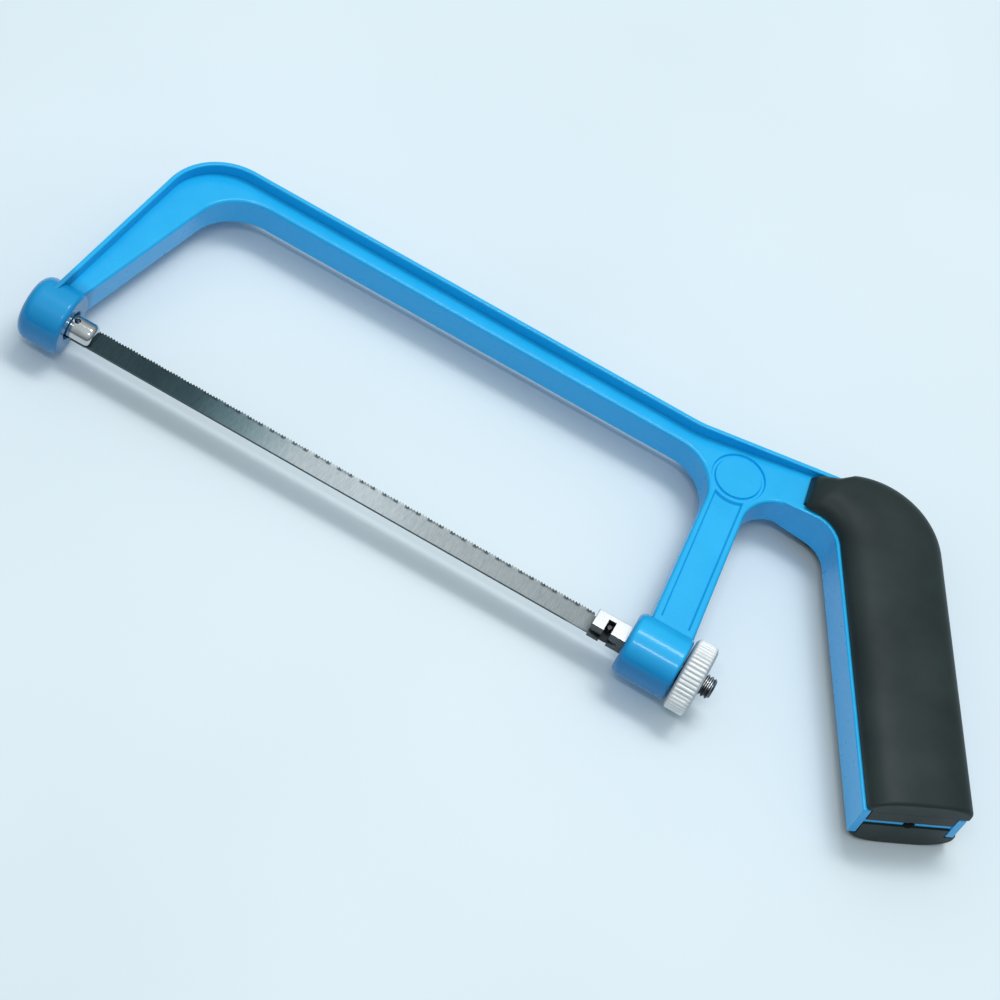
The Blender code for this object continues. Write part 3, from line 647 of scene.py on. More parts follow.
def paint_material():
    """Glossy light-blue paint with a faint orange-peel skin; painted shade deepens the blue on upright faces,
    on the bosses' flanks and on the front boss.
    """
    m = Nodes("blue_paint")
    colour = m.mix(m.spread(m.noise(9.0)), *PAINT_TONES)
    upright = m.maths("SUBTRACT", 1.0, m.facing_up(0.35, 0.97))
    near_blade = m.along("Y", BOSS_TOP_Y, 1.0, 0.0)
    boss_shade_mask = m.product(near_blade, m.along("X", HANDLE_SIDE_X, 1.0, 0.0))
    front_boss_shade_mask = m.product(near_blade, m.along("X", FRONT_BOSS_X, 0.6, 0.0))
    # painted shade: upright faces darkened towards a deeper blue
    colour = m.mix(upright, colour, PAINT_UPRIGHT_SHADE)
    # painted shade: the bosses' upright flanks darkened further
    colour = m.mix(m.product(boss_shade_mask, upright), colour, PAINT_BOSS_SIDE_SHADE)
    # painted shade: the front boss darkened towards a deeper blue
    colour = m.mix(front_boss_shade_mask, colour, PAINT_FRONT_BOSS_SHADE)
    m.set(Base_Color=colour,
          Roughness=m.spread(m.noise(2.5), 0.26, 0.36),
          Normal=m.bump(m.noise(5.0, detail=0.0), 0.01, 0.4),
          Metallic=0.0, Coat_Weight=0.45, Coat_Roughness=0.12, Specular_IOR_Level=0.2)
    return m.material


def polished_material(name, colour, roughness, grain_mm, stretch):
    """Bright metal with fine directional scratches and slight smudges."""
    m = Nodes(name)
    grain = m.noise(grain_mm, detail=4.0, stretch=stretch)
    smudged = tuple(value * 0.82 for value in colour)
    m.set(Base_Color=m.mix(m.spread(m.noise(3.0)), smudged, colour),
          Roughness=m.spread(grain, roughness * 0.7, roughness * 1.5),
          Normal=m.bump(grain, 0.004, normal=m.edge_normal(0.12)),
          Metallic=1.0)
    return m.material


def holder_material():
    """Steel bar with slot and thread: painted highlight lightens its upper and lower faces, painted shade
    darkens its sides.
    """
    m = Nodes("holder_steel")
    grain = m.noise(0.3, detail=4.0, stretch=(1.0, 6.0, 6.0))
    shaded_sides = m.mix(m.spread(grain), *HOLDER_SIDE_SHADE)
    lit_faces = m.mix(m.spread(m.noise(3.0)), *HOLDER_FACE_HIGHLIGHT)
    # painted highlight on faces that look up or down, painted shade on the upright sides
    m.set(Base_Color=m.mix(m.facing_up(0.55, 0.85), shaded_sides, lit_faces),
          Roughness=m.spread(grain, 0.22, 0.36),
          Normal=m.bump(grain, 0.004),
          Metallic=0.9)
    return m.material


def blade_material():
    """Ground blade steel with marks across its width and a bluer tint towards the toe; painted reflection
    makes it dark at the toe and light in the middle, and painted shade darkens the teeth's set, the back edge
    and the part in the holder's notch.
    """
    m = Nodes("blade_steel")
    marks = m.noise(0.5, detail=5.0, stretch=(3.0, 0.25, 1.0))
    share = m.along("X", (0, PIN_SPACING), 0.0, 1.0)
    # painted reflection along the blade, and painted shade in the holder's notch
    tone = m.ramp(share, [(x / PIN_SPACING, grey) for x, grey in BLADE_PAINTED_LIGHT_TONES])
    worn = m.mix(m.spread(marks), *BLADE_WEAR)
    # bluer tint towards the toe, fading out along the blade
    toe_tint = m.mix(m.spread(m.noise(7.0)), *TOE_TINTS)
    tinge = m.mix(m.along("X", TOE_TINT_FADE_X, 0.0, 1.0), toe_tint, BLADE_BODY_TINT)
    # painted shade: dark dashes along the teeth, in step with their wavy set
    turns = m.product(m.separate(m.coords)["X"], TAU / (WAVE_LENGTH / 2 * MM))
    stripes = m.spread(m.maths("SINE", turns), 0.0, 1.0, 0.0, 0.8)
    tooth_set_shade = m.product(m.along("Y", TOOTH_LINE_Y, 0.0, 0.8), stripes)
    body = m.mix(tooth_set_shade, m.tint(m.tint(tone, worn), tinge), TOOTH_SET_SHADE_COLOUR)
    # painted shade along the back edge, left out where the blade lies in the holder
    back_edge_shade = m.product(m.along("Y", BACK_EDGE_Y, 1.0, 0.0), m.spread(share, 1.0, 0.0, *HOLDER_SHARE))
    m.set(Base_Color=m.mix(back_edge_shade, body, BACK_EDGE_SHADE_COLOUR),
          Roughness=m.spread(marks, 0.30, 0.46),
          Normal=m.bump(marks, 0.006),
          Metallic=0.92)
    return m.material


def nut_material():
    """Pale satin metal with turning marks; painted shade greys the knurl valleys."""
    m = Nodes("nut_satin")
    place = m.separate(m.coords)
    across = m.add("ShaderNodeCombineXYZ")
    m.link(place["Y"], across.inputs["X"])
    m.link(place["Z"], across.inputs["Y"])
    away = m.add("ShaderNodeVectorMath", operation="DISTANCE")
    m.link(across.outputs[0], away.inputs[0])
    centre = to_world((0, 0, 0))
    away.inputs[1].default_value = (centre.y, centre.z, 0)
    valley, ridge = ((NUT_RADIUS - below) * MM for below in VALLEY_RADII)
    speck = m.noise(0.4, detail=4.0)
    pale = m.mix(m.spread(speck), *NUT_TONES)
    # painted shade greys the knurl valleys
    m.set(Base_Color=m.mix(m.spread(away.outputs["Value"], 0.0, 1.0, valley, ridge), NUT_VALLEY_SHADE, pale),
          Roughness=m.spread(speck, 0.34, 0.5),
          Normal=m.bump(speck, 0.012),
          Metallic=0.35)
    return m.material


def grip_material():
    """Satin black moulded plastic with a fine spark-eroded grain and faint rubbed patches."""
    m = Nodes("grip_plastic")
    rubbed = m.noise(16.0, detail=4.0)
    m.set(Base_Color=m.mix(m.spread(rubbed), *GRIP_TONES),
          Roughness=m.spread(rubbed, 0.48, 0.40),
          Normal=m.bump(m.noise(0.28, detail=2.0), 0.02),
          Metallic=0.0, Specular_IOR_Level=0.24)
    return m.material


def floor_material():
    """Pale, faintly blue studio sweep with a soft paper tooth."""
    m = Nodes("studio_sweep")
    m.set(Base_Color=m.mix(m.spread(m.noise(140.0, detail=2.0)), *FLOOR_TONES),
          Normal=m.bump(m.noise(0.8), 0.01),
          Roughness=0.55)
    return m.material


# ---- the casting
def back_path(end_x):
    """Outer edge of the frame's back: toe arm, beam and the rise towards the handle."""
    rise_y = BEAM_OUTER_Y + (end_x - BEND_X) * tan(radians(RISE_ANGLE))
    return [(*TOE_FOOT, 0), (TOE_CORNER_X, BEAM_OUTER_Y, TOE_RADIUS),
            (BEND_X, BEAM_OUTER_Y, BEND_RADIUS), (end_x, rise_y, 0)]


def arch_path(start_x, down=HANDLE_LENGTH):
    """Finger side of the arch and of the handle's front flange, to a place down the handle."""
    return [(start_x, ARCH_Y, 0), (HANDLE_CORNER_X, ARCH_Y, ARCH_REAR_RADIUS), (*handle_point(0, down), 0)]


def handle_back_path(start_x, down=HANDLE_LENGTH):
    """Outer face of the handle's rear flange, to a place down the handle."""
    rise = tan(radians(RISE_ANGLE))
    start_y = BEAM_OUTER_Y + (start_x - BEND_X) * rise
    rake = radians(HANDLE_RAKE)
    rear_x, rear_y = handle_point(FRAME_WIDTH, 0)
    along = ((rear_y - start_y) - (rear_x - start_x) * rise) / (sin(rake) + cos(rake) * rise)
    corner = (rear_x + along * cos(rake), rear_y - along * sin(rake))
    return [(start_x, start_y, 0), (*corner, HANDLE_BACK_RADIUS), (*handle_point(FRAME_WIDTH, down), 0)]


def rim_inner_y(x):
    """Inner wall of the rim along the rising back."""
    rise = radians(RISE_ANGLE)
    return BEAM_OUTER_Y + (x - BEND_X) * tan(rise) - RIM_THICK / cos(rise)


def body_outline():
    """Outline of the body from the toe to the handle, round both openings' inner edges."""
    outer = path_points(shift_path(back_path(BODY_END_X), BODY_OVERLAP))
    arch_y = ARCH_Y + HIDDEN_STEP
    inner = path_points([(BODY_END_X, arch_y, 0),
                         (REAR_ARM_BACK[0], arch_y, ARCH_FRONT_RADIUS),
                         (REAR_ARM_BACK[1], ARM_FOOT_Y, 0),
                         (REAR_ARM_FRONT[1], ARM_FOOT_Y, 0),
                         (REAR_ARM_FRONT[0], BEAM_INNER_Y, OPENING_RADIUS),
                         (TOE_INNER_X, BEAM_INNER_Y, TOE_INNER_RADIUS),
                         (*TOE_INNER_FOOT, 0)])
    return outer + inner


def arm_edge_x(edge, y):
    """x of one edge line of the rear arm at a height."""
    slope = (edge[0] - edge[1]) / (BEAM_INNER_Y - ARM_FOOT_Y)
    return edge[1] + slope * (y - ARM_FOOT_Y)


def panel_outline():
    """Sunk panel of the rear arm; its top follows the medallion."""
    middle_x, middle_y = MEDAL_CENTRE
    corner_y = middle_y - PANEL_TOP_RADIUS * PANEL_CORNER_SHARE
    left, foot_left = (arm_edge_x(REAR_ARM_FRONT, y) + PANEL_MARGIN for y in (corner_y, PANEL_FOOT_Y))
    right, foot_right = (arm_edge_x(REAR_ARM_BACK, y) - PANEL_MARGIN for y in (corner_y, PANEL_FOOT_Y))
    start, end = (atan2(corner_y - middle_y, x - middle_x) for x in (left, right))
    outline = []
    for i in range(PANEL_TOP_STEPS + 1):
        angle = start + (end - start) * i / PANEL_TOP_STEPS
        outline.append((middle_x + PANEL_TOP_RADIUS * cos(angle), middle_y + PANEL_TOP_RADIUS * sin(angle)))
    return outline + [(foot_right, PANEL_FOOT_Y), (foot_left, PANEL_FOOT_Y)]


def smooth_step(value):
    value = max(0.0, min(1.0, value))
    return value * value * (3 - 2 * value)


def scale_height(obj, share_at):
    """Draw a helper's points towards the middle plane, to a share that depends on their x."""
    for vert in obj.data.vertices:
        middle = ORIGIN.z * MM
        vert.co.z = middle + (vert.co.z - middle) * share_at(vert.co.x / MM - ORIGIN.x)
    return obj


def rim_plate():
    """The raised rim round the back; its end comes down where it runs into the grip."""
    outline = band_outline(back_path(RIM_END_X), 0, RIM_THICK)
    rim = rounded_plate("rim", outline, -RIM_HALF, RIM_HALF, RIM_EDGE)
    length = RIM_END_X - RIM_FALL_X
    return scale_height(rim, lambda x: 1 - RIM_FALL * smooth_step((x - RIM_FALL_X) / length))


def front_flange():
    """Finger-side flange; its edges rise out of the body's faces along the arch."""
    outline = band_outline(arch_path(FRONT_FLANGE_START_X), 0, -FLANGE_THICK)
    flange = rounded_plate("front_flange", outline, -FRONT_FLANGE_HALF, FRONT_FLANGE_HALF, FRONT_FLANGE_EDGE)
    low = BODY_HALF / FRONT_FLANGE_HALF - FLANGE_SINK
    start, length = FLANGE_RISE
    return scale_height(flange, lambda x: low + (1 - low) * smooth_step((x - start) / length))


def rear_flange():
    """Flange along the handle's back."""
    outline = band_outline(handle_back_path(HANDLE_START_X), REAR_FLANGE_INSET, FLANGE_THICK)
    return rounded_plate("rear_flange", outline, -REAR_FLANGE_HALF, REAR_FLANGE_HALF, REAR_FLANGE_EDGE)


def web_plate():
    """Thin web between the handle's two flanges."""
    end = HANDLE_LENGTH - WEB_SETBACK
    outline = (path_points(shift_path(handle_back_path(HANDLE_START_X, end), FLANGE_THICK / 2))
               + path_points(shift_path(arch_path(HANDLE_START_X, end), -FLANGE_THICK / 2))[::-1])
    return rounded_plate("web", outline, -WEB_HALF, WEB_HALF, HIDDEN_EDGE, steps=1)


def front_boss():
    """Boss at the toe, with the socket that the stud is pressed into."""
    start, end, radius = FRONT_BOSS
    nose_round, end_round = FRONT_BOSS_ROUNDS
    mouth_radius, mouth_depth, mouth_round = SOCKET_MOUTH
    mouth_floor = end - mouth_depth
    socket_floor = STUD_START - GAP
    return turned("front_boss", path_points([
        (0, start, 0), (radius, start, nose_round), (radius, end, end_round),
        (mouth_radius, end, mouth_round), (mouth_radius, mouth_floor, 0),
        (SOCKET_RADIUS, mouth_floor, 0), (SOCKET_RADIUS, socket_floor, 0), (0, socket_floor, 0)]))


def place_on_handle_end(obj):
    """Turn a helper drawn along X about the front pin onto the middle of the handle's end."""
    x, y = handle_point(SCREW_ACROSS, HANDLE_LENGTH)
    turn = Matrix.Rotation(radians(-HANDLE_RAKE), 4, "Z")
    back = Matrix.Translation(-ORIGIN * MM)
    obj.data.transform(Matrix.Translation(to_world((x, y, 0))) @ turn @ back)
    return obj


def sunk_cutters(side):
    """Cutters for the arm's panel and the ring round the medallion, both with sloping walls."""
    inner, outer = MEDAL_GROOVE
    floor_z, face_z, clear_z = (side * (BODY_HALF + rise) for rise in (-GROOVE_DEPTH, 0.0, GROOVE_CLEAR))
    profile = [(inner, clear_z), (outer, clear_z), (outer, face_z),
               (outer - GROOVE_LEAN, floor_z), (inner + GROOVE_LEAN, floor_z), (inner, face_z)]
    ring = turned("ring", profile, axis="Z", centre=(*MEDAL_CENTRE, 0), closed=True)
    outline = panel_outline()
    rows = []
    for rise, lean in ((-PANEL_DEPTH, PANEL_LEAN), (0.0, 0.0), (PANEL_CLEAR, 0.0)):
        rows.append([(x, y, side * (BODY_HALF + rise)) for x, y in inset(outline, lean)])
    return [new_object("panel", rings_mesh(rows)), ring]


def frame_cutters():
    """Cutters for the holder's square hole, its thread's hole, the handle's end hole and the faces."""
    boss_start, boss_end, _ = REAR_BOSS
    half_y, half_z = (size / 2 + GAP for size in BAR_SIZE)
    hole_radius, hole_start = THREAD_HOLE
    end_slot = block("end_slot", (-END_HOLE_DEPTH - GAP, -END_HOLE_RADIUS, -CLEAR),
                     (CLEAR, END_HOLE_RADIUS, CLEAR))
    return [block("bar_hole", (boss_start - REACH, -half_y, -half_z),
                  (BAR_HOLE_END_X, half_y, half_z)),
            rod("thread_hole", hole_radius, hole_start, boss_end + CLEAR, segments=64),
            place_on_handle_end(end_slot), *sunk_cutters(1), *sunk_cutters(-1)]


def build_frame(material):
    """The one-piece casting."""
    body = rounded_plate("frame_casting", body_outline(), -BODY_HALF, BODY_HALF, BODY_EDGE, steps=5)
    combine(body, [rod("bore_room", SOCKET_MOUTH[0], SOCKET_ROOM_X, 0)], "DIFFERENCE")
    start, end, radius = REAR_BOSS
    rear_boss = rod("rear_boss", radius, start, end, REAR_BOSS_ROUNDS)
    combine(body, [rim_plate(), web_plate(), front_flange(), rear_flange(), front_boss(), rear_boss], "UNION")
    combine(body, frame_cutters(), "DIFFERENCE")
    merge_close(body)
    finish_piece(body, "frame_body", ["frame"], material, 30.0)


# ---- the blade and what holds it
def blade_slot(start, end):
    """Cutter for the slot that holds the blade's end."""
    return block("slot", (start, -REACH, BLADE_Z - SLOT_HALF), (end, REACH, BLADE_Z + SLOT_HALF))


def build_stud(material):
    """Slotted rod with a rounded nose; the blade's front pin lies across it in a channel."""
    stud = rod("front_stud_chromed", STUD_RADIUS, STUD_START, STUD_END, STUD_ROUNDS, STUD_SEGMENTS)
    channel = block("channel", (-PIN_ROOM - BOLT_TRAVEL, -PIN_ROOM, -REACH),
                    (PIN_ROOM, REACH, BLADE_Z + PIN_HALF + GAP))
    peephole = rod("peephole", PEEPHOLE_RADIUS, 0, REACH, segments=PEEPHOLE_SEGMENTS, axis="Z")
    combine(stud, [blade_slot(*STUD_SLOT), channel, peephole], "DIFFERENCE")
    finish_piece(stud, "frame_body", ["front_stud"], material)


def tooth_set(x):
    """Sideways set of the teeth."""
    return WAVE_SIZE * sin(TAU * x / WAVE_LENGTH)


def blade_end(centre_x, start, sweep):
    """Points of one round end of the blade."""
    angles = [start + sweep * i / BLADE_END_STEPS for i in range(BLADE_END_STEPS + 1)]
    return [(centre_x + BLADE_HALF_WIDTH * cos(angle), BLADE_HALF_WIDTH * sin(angle)) for angle in angles]


def tooth_edges(bm, stations):
    """Lower and upper row of points along the teeth: a root at each station and a tip behind it."""
    low_edge, high_edge = [], []
    for i, x in enumerate(stations):
        points = [(x, BLADE_HALF_WIDTH - TOOTH_DEPTH, ROOT_SET)]
        if i < len(stations) - 1:
            points.append((x + TIP_SHARE * TOOTH_PITCH, BLADE_HALF_WIDTH - TIP_DROP, 1.0))
        for place, y, share in points:
            middle = BLADE_Z + tooth_set(place) * share
            low_edge.append(bm.verts.new((place, y, middle - TOOTH_EDGE_HALF)))
            high_edge.append(bm.verts.new((place, y, middle + TOOTH_EDGE_HALF)))
    return low_edge, high_edge


def build_blade(material):
    """Thin strip with half-round ends; the tooth edge is a strip of its own with a wavy set."""
    line_y = BLADE_HALF_WIDTH - SET_STRIP
    angle = atan2(line_y, sqrt(BLADE_HALF_WIDTH ** 2 - line_y ** 2))
    sweep = pi / 2 + angle
    ends = blade_end(0, pi - angle, sweep) + blade_end(PIN_SPACING, -pi / 2, sweep)
    count = int((PIN_SPACING - 2 * TEETH_INSET) / TOOTH_PITCH)
    stations = [TEETH_INSET + TOOTH_PITCH * i for i in range(count + 1)]
    outline = ends + [(x, line_y) for x in stations[::-1]]
    bm = bmesh.new()
    lower, upper = ([bm.verts.new((x, y, z)) for x, y in outline]
                    for z in (BLADE_Z - BLADE_HALF_THICK, BLADE_Z + BLADE_HALF_THICK))
    bm.faces.new(lower)
    bm.faces.new(upper)
    for i in range(-1, len(ends)):
        bm.faces.new((lower[i], lower[i + 1], upper[i + 1], upper[i]))
    low_base, high_base = (row[len(ends):][::-1] for row in (lower, upper))
    low_edge, high_edge = tooth_edges(bm, stations)
    for i in range(count):
        for base, edge in ((low_base, low_edge), (high_base, high_edge)):
            bm.faces.new((base[i], base[i + 1], edge[2 * i + 2], edge[2 * i + 1], edge[2 * i]))
        for j in (2 * i, 2 * i + 1):
            bm.faces.new((low_edge[j], low_edge[j + 1], high_edge[j + 1], high_edge[j]))
    for k in (0, -1):
        bm.faces.new((low_base[k], low_edge[k], high_edge[k], high_base[k]))
    blade = new_object("blade_toothed", bm)
    radius, half_length = BLADE_HOLE
    holes = [rod("hole", radius, -half_length, half_length, (0, 0), SMALL_SEGMENTS, "Z", (x, 0, 0))
             for x in (0, PIN_SPACING)]
    combine(blade, holes, "DIFFERENCE")
    finish_piece(blade, "blade_body", ["blade"], material, 25.0)


def build_pins(material):
    """The two pins across the blade's ends."""
    for label, x in (("front", 0), ("rear", PIN_SPACING)):
        pin = rod(f"blade_pin_{label}_drawn", PIN_RADIUS, BLADE_Z - PIN_HALF, BLADE_Z + PIN_HALF,
                  (PIN_ROUND, PIN_ROUND), SMALL_SEGMENTS, "Z", (x, 0, 0))
        finish_piece(pin, "blade_body", [f"blade_pin_{label}"], material)


def thread_rings(start, end):
    """Rings of the bolt's thread: its ridge climbs with the angle, and its end is chamfered."""
    flank_height, flank_slope = THREAD_FLANK
    chamfer_depth, chamfer_slope = BOLT_CHAMFER
    count = int((end - start) * RINGS_PER_TURN / THREAD_PITCH)
    rings = []
    for i in range(count + 1):
        x = start + (end - start) * i / count
        ring = []
        for k in range(FINE_SEGMENTS):
            turn = k / FINE_SEGMENTS
            phase = (x / THREAD_PITCH + turn) % 1.0
            groove = THREAD_DEPTH * max(0.0, min(1.0, flank_height - abs(2 * phase - 1) * flank_slope))
            reach = THREAD_RADIUS - max(groove, chamfer_depth - (end - x) * chamfer_slope)
            ring.append((x, reach * cos(TAU * turn), reach * sin(TAU * turn)))
        rings.append(ring)
    return rings


def build_tension_bolt(material):
    """Square bar with the blade's slot and the pin's notch, and a thread at its rear end."""
    half_y, half_z = BAR_SIZE[0] / 2, BAR_SIZE[1] / 2
    outline = [(BAR_END_X, -half_y), (BAR_END_X, half_y), (BAR_START, half_y), (BAR_START, -half_y)]
    bar = rounded_plate("tension_bolt_bright", outline, -half_z, half_z, BAR_EDGE, steps=3)
    slot = blade_slot(BAR_START - REACH, PIN_SPACING + BLADE_HALF_WIDTH + GAP)
    notch = block("notch", (PIN_SPACING - PIN_ROOM, -REACH, -REACH),
                  (PIN_SPACING + PIN_ROOM, PIN_ROOM, REACH))
    combine(bar, [slot, notch], "DIFFERENCE")
    thread = new_object("thread", rings_mesh(thread_rings(BAR_END_X - THREAD_OVERLAP, BOLT_END)))
    combine(bar, [thread], "UNION")
    finish_piece(bar, "bolt_body", ["tension_bolt"], material)


def nut_profile():
    """(radius, station, share of the knurl's depth) round the nut's section."""
    drop, edge_share, press = NUT_SHOULDER
    side = [(NUT_BORE_RADIUS, NUT_CHAMFER, 0.0), (NUT_BORE_RADIUS + NUT_CHAMFER, 0.0, 0.0),
            (NUT_RADIUS - NUT_EDGE - NUT_FACE_DROP, 0.0, 0.0),
            (NUT_RADIUS - drop, NUT_EDGE * edge_share, press)]
    row_length = (NUT_END - NUT_START - 2 * NUT_EDGE) / KNURL_ROWS
    rows = [(NUT_RADIUS, NUT_START + NUT_EDGE + row_length * i, 1.0) for i in range(KNURL_ROWS + 1)]
    return ([(radius, NUT_START + x, press) for radius, x, press in side] + rows
            + [(radius, NUT_END - x, press) for radius, x, press in side[::-1]])


def build_thumb_nut(material):
    """Straight-knurled nut: a turned ring whose outer rows are pressed in between the ridges."""
    segments = KNURLS * POINTS_PER_KNURL
    rings = []
    for radius, x, press in nut_profile():
        ring = []
        for k in range(segments):
            angle = TAU * k / segments
            valley = 0.5 - 0.5 * cos(angle * KNURLS)
            reach = radius - press * KNURL_DEPTH * valley ** KNURL_POWER
            ring.append((x, reach * cos(angle), reach * sin(angle)))
        rings.append(ring)
    nut = new_object("thumb_nut_knurled", rings_mesh(rings, closed_loop=True))
    finish_piece(nut, "nut_body", ["thumb_nut"], material, 40.0)


# ---- the grip halves
def resample(points, count):
    """Evenly spaced points along a polyline."""
    lengths = [hypot(b[0] - a[0], b[1] - a[1]) for a, b in zip(points, points[1:])]
    total = sum(lengths)
    result = []
    for i in range(count):
        left = total * i / (count - 1)
        for (a, b), length in zip(zip(points, points[1:]), lengths):
            if left <= length + POINT_SLACK:
                break
            left -= length
        share = min(left / length, 1.0)
        result.append((a[0] + (b[0] - a[0]) * share, a[1] + (b[1] - a[1]) * share))
    return result


def grip_sections():
    """Pairs of front and back points that the crown is spanned between."""
    line_x, line_y = handle_point(GRIP_WIDTH - GRIP_BACK_RADIUS, 0)
    centre_y = GRIP_BACK_CENTRE_Y
    centre_x = line_x - (centre_y - line_y) / tan(radians(HANDLE_RAKE))
    start_angle, end_angle = radians(GRIP_BACK_START), radians(90 - HANDLE_RAKE)
    back = [GRIP_START[0], (RIM_END_X - GRIP_START_BACK, rim_inner_y(RIM_END_X) - GAP)]
    for i in range(GRIP_BACK_STEPS + 1):
        angle = start_angle + (end_angle - start_angle) * i / GRIP_BACK_STEPS
        back.append((centre_x + GRIP_BACK_RADIUS * cos(angle), centre_y + GRIP_BACK_RADIUS * sin(angle)))
    knee = (back[-1][0] - handle_point(GRIP_WIDTH, 0)[0]) / cos(radians(HANDLE_RAKE))
    front = shift_path(arch_path(HANDLE_START_X), -GRIP_FRONT_INSET)
    front[0] = (*GRIP_START[1], 0)
    front[-1] = (*handle_point(GRIP_FRONT_INSET, knee), 0)
    pairs = list(zip(resample(path_points(front), FAN_SECTIONS), resample(back, FAN_SECTIONS)))
    step = (HANDLE_LENGTH - GRIP_END_EDGE - knee) / STRAIGHT_SECTIONS
    for i in range(1, STRAIGHT_SECTIONS + 1):
        pairs.append(grip_edges(knee + step * i))
    return pairs


def grip_edges(down):
    """Front and back point of the grip at a place down the handle."""
    return handle_point(GRIP_FRONT_INSET, down), handle_point(GRIP_WIDTH, down)


def crown_height(x, y, share):
    """Height of the grip's skin at a share of the way from front edge to back edge."""
    (x0, y0), (x1, y1) = GRIP_START
    dx, dy = unit(x1 - x0, y1 - y0)
    behind_start = abs((x - x0) * dy - (y - y0) * dx)
    nose = min(behind_start / GRIP_NOSE_LENGTH, 1.0)
    rise = sqrt(1 - (1 - nose) ** 2)
    low_side = GRIP_FLOOR + GRIP_FLOOR_RISE
    side = low_side + (GRIP_SIDE - low_side) * rise
    top = GRIP_NOSE + (GRIP_HALF - GRIP_NOSE) * rise
    bulge = sqrt(max(0.0, 1 - abs(2 * share - 1) ** CROWN_POWER))
    return side + (top - side) * bulge


def grip_ring(front, back, side, lowered=0.0):
    """One section of the skin; lowered draws it in towards the middle for the rounded end."""
    inner = Vector((back[0] - front[0], back[1] - front[1])).normalized() * lowered
    front_x, front_y = front[0] + inner.x, front[1] + inner.y
    back_x, back_y = back[0] - inner.x, back[1] - inner.y
    ring = [(front_x, front_y, side * GRIP_FLOOR)]
    for i in range(SECTION_STEPS + 1):
        share = (1 - cos(pi * i / SECTION_STEPS)) / 2
        x, y = front_x + (back_x - front_x) * share, front_y + (back_y - front_y) * share
        ring.append((x, y, side * (crown_height(x, y, share) - lowered)))
    ring.append((back_x, back_y, side * GRIP_FLOOR))
    return ring


def grip_skin(name, side):
    """Crowned skin of one grip half, with a rounded end."""
    rings = [grip_ring(front, back, side) for front, back in grip_sections()]
    for i in range(1, GRIP_END_STEPS + 1):
        angle = pi / 2 * i / GRIP_END_STEPS
        down = HANDLE_LENGTH - GRIP_END_EDGE + GRIP_END_EDGE * sin(angle)
        lowered = GRIP_END_EDGE * (1 - cos(angle)) * GRIP_END_DRAW
        rings.append(grip_ring(*grip_edges(down), side, lowered))
    return new_object(name, rings_mesh(rings))


def core_outline():
    """Filling of the channel between the two flanges."""
    clear = FLANGE_THICK + GAP
    start_x = BODY_END_X + GAP
    length = HANDLE_LENGTH + HIDDEN_STEP / 2
    front = shift_path(arch_path(HANDLE_START_X), -clear)
    front[0] = (start_x, front[0][1], 0)
    front[-1] = (*handle_point(clear, length), 0)
    back = shift_path(handle_back_path(RIM_END_X), clear)
    back[0] = (start_x, rim_inner_y(start_x) - (FLANGE_THICK - RIM_THICK) - GAP, 0)
    back[-1] = (*handle_point(FRAME_WIDTH - clear, length), 0)
    return path_points(back) + path_points(front)[::-1]


def grip_plate(name, outline, side, low, high):
    """A hidden plate on one side of the middle plane, between two heights."""
    return rounded_plate(name, outline, *sorted((side * low, side * high)), HIDDEN_EDGE, steps=1)


def build_grip(label, side, material):
    """One half of the grip: a crowned skin with a core between the flanges, cleared of the frame."""
    grip = grip_skin(f"grip_{label}_moulded", side)
    core = grip_plate("core", core_outline(), side, WEB_HALF + GAP, GRIP_FLOOR + CORE_OVERLAP)
    combine(grip, [core], "UNION")
    flange_line = [(GRIP_START[0][0] - FLANGE_ROOM_OUT, ARCH_Y, 0)] + arch_path(HANDLE_START_X)[1:]
    flange_band = band_outline(flange_line, FLANGE_ROOM_OUT, -FLANGE_THICK - GAP)
    rim_band = band_outline(back_path(RIM_END_X + GAP), -RIM_ROOM_OUT, RIM_THICK + GAP)
    end_hole = rod("hole", END_HOLE_RADIUS, -END_HOLE_DEPTH, CLEAR, segments=FINE_SEGMENTS)
    cutters = [grip_plate("flange_room", flange_band, side, ROOM_LOW, FRONT_FLANGE_HALF + GAP),
               grip_plate("rim_room", rim_band, side, ROOM_LOW, RIM_HALF + GAP),
               place_on_handle_end(end_hole)]
    if side < 0:
        for node in SCREWS:
            x, y = [value - shift for value, shift in zip(middle_mm(node)[:2], ORIGIN)]
            cutters.append(rod("well", *SCREW_WELL, segments=FINE_SEGMENTS, axis="Z", centre=(x, y, 0)))
    combine(grip, cutters, "DIFFERENCE")
    merge_close(grip)
    finish_piece(grip, "frame_body", [f"grip_{label}"], material, 40.0)


# ---- stage, light and camera
def build_floor():
    """Pale floor that the saw lies on."""
    bm = bmesh.new()
    bmesh.ops.create_grid(bm, x_segments=FLOOR_SQUARES, y_segments=FLOOR_SQUARES, size=FLOOR_HALF)
    floor = add_mesh("studio_floor", bm)
    floor.data.materials.append(floor_material())


def area_light(name, place, size, power, glossy):
    """A rectangular lamp that looks at the scene's origin."""
    light = bpy.data.lights.new(name, "AREA")
    light.shape = "RECTANGLE"
    light.size, light.size_y = size
    light.energy = power
    obj = add_object(name, light)
    obj.location = place
    obj.rotation_euler = (-Vector(place)).to_track_quat("-Z", "Y").to_euler()
    obj.visible_glossy = glossy


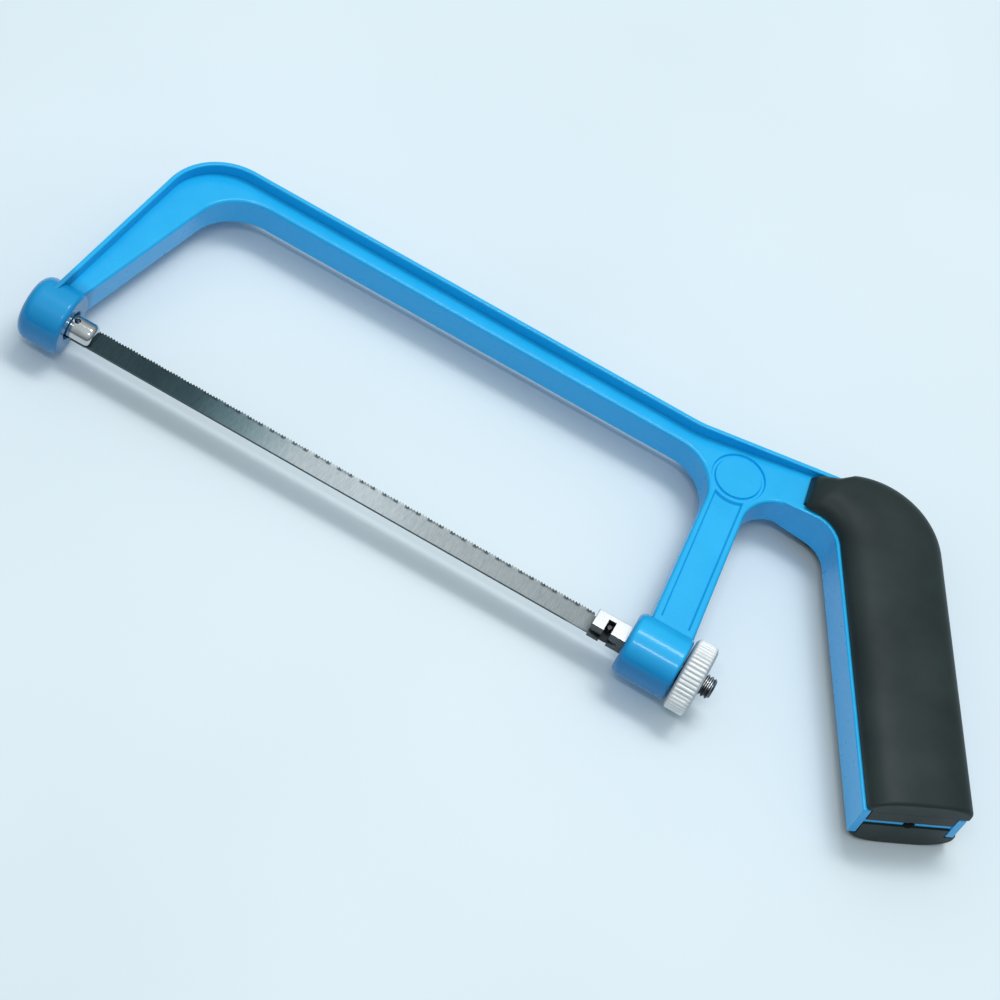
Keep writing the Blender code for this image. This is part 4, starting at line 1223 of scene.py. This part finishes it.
def build_world():
    """Soft light that grows from the horizon to straight above, in front of a pale backdrop."""
    world = bpy.data.worlds.new("studio_world")
    world.use_nodes = True
    tree = world.node_tree
    height = tree.nodes.new("ShaderNodeSeparateXYZ")
    tree.links.new(tree.nodes.new("ShaderNodeTexCoord").outputs["Generated"], height.inputs[0])
    ramp = tree.nodes.new("ShaderNodeValToRGB")
    for element, colour in zip(ramp.color_ramp.elements, (HORIZON_COLOUR, ZENITH_COLOUR)):
        element.color = (*colour, 1.0)
    tree.links.new(height.outputs["Z"], ramp.inputs["Fac"])
    seen = tree.nodes.new("ShaderNodeMix")
    seen.data_type = "RGBA"
    tree.links.new(tree.nodes.new("ShaderNodeLightPath").outputs["Is Camera Ray"], seen.inputs["Factor"])
    tree.links.new(ramp.outputs["Color"], seen.inputs[6])
    seen.inputs[7].default_value = (*BACKDROP_COLOUR, 1.0)
    tree.links.new(seen.outputs[2], tree.nodes["Background"].inputs["Color"])
    bpy.context.scene.world = world


def build_camera():
    """Camera over the handle's side that looks down along the blade."""
    camera = bpy.data.cameras.new("photo_camera")
    camera.lens = CAMERA_LENS
    camera.sensor_width = SENSOR_WIDTH
    camera.clip_start = CLIP_START
    obj = add_object("photo_camera", camera)
    obj.location = to_world(CAMERA_PLACE)
    obj.rotation_euler = [radians(value) for value in CAMERA_TURN]
    bpy.context.scene.camera = obj


def build_saw():
    """Every piece of the saw with its material; the hidden screws keep their CAD shapes."""
    plastic = grip_material()
    build_frame(paint_material())
    build_stud(polished_material("chrome", CHROME_COLOUR, 0.10, 0.3, (1.0, 6.0, 6.0)))
    build_blade(blade_material())
    # painted shade: near-black pins for the shaded notches
    build_pins(polished_material("pin_steel", PIN_SHADE_COLOUR, 0.35, 0.3, (4.0, 4.0, 1.0)))
    build_tension_bolt(holder_material())
    build_thumb_nut(nut_material())
    build_grip("upper", 1, plastic)
    build_grip("lower", -1, plastic)
    screw_steel = polished_material("screw_steel", SCREW_COLOUR, 0.28, 0.4, (3.0, 3.0, 3.0))
    for node in SCREWS:
        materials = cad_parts[node].data.materials
        materials.clear()
        materials.append(screw_steel)


bpy.context.scene.view_settings.view_transform = "Standard"
build_saw()
build_floor()
for settings in LIGHTS:
    area_light(*settings)
build_world()
build_camera()
bpy.context.view_layer.update()
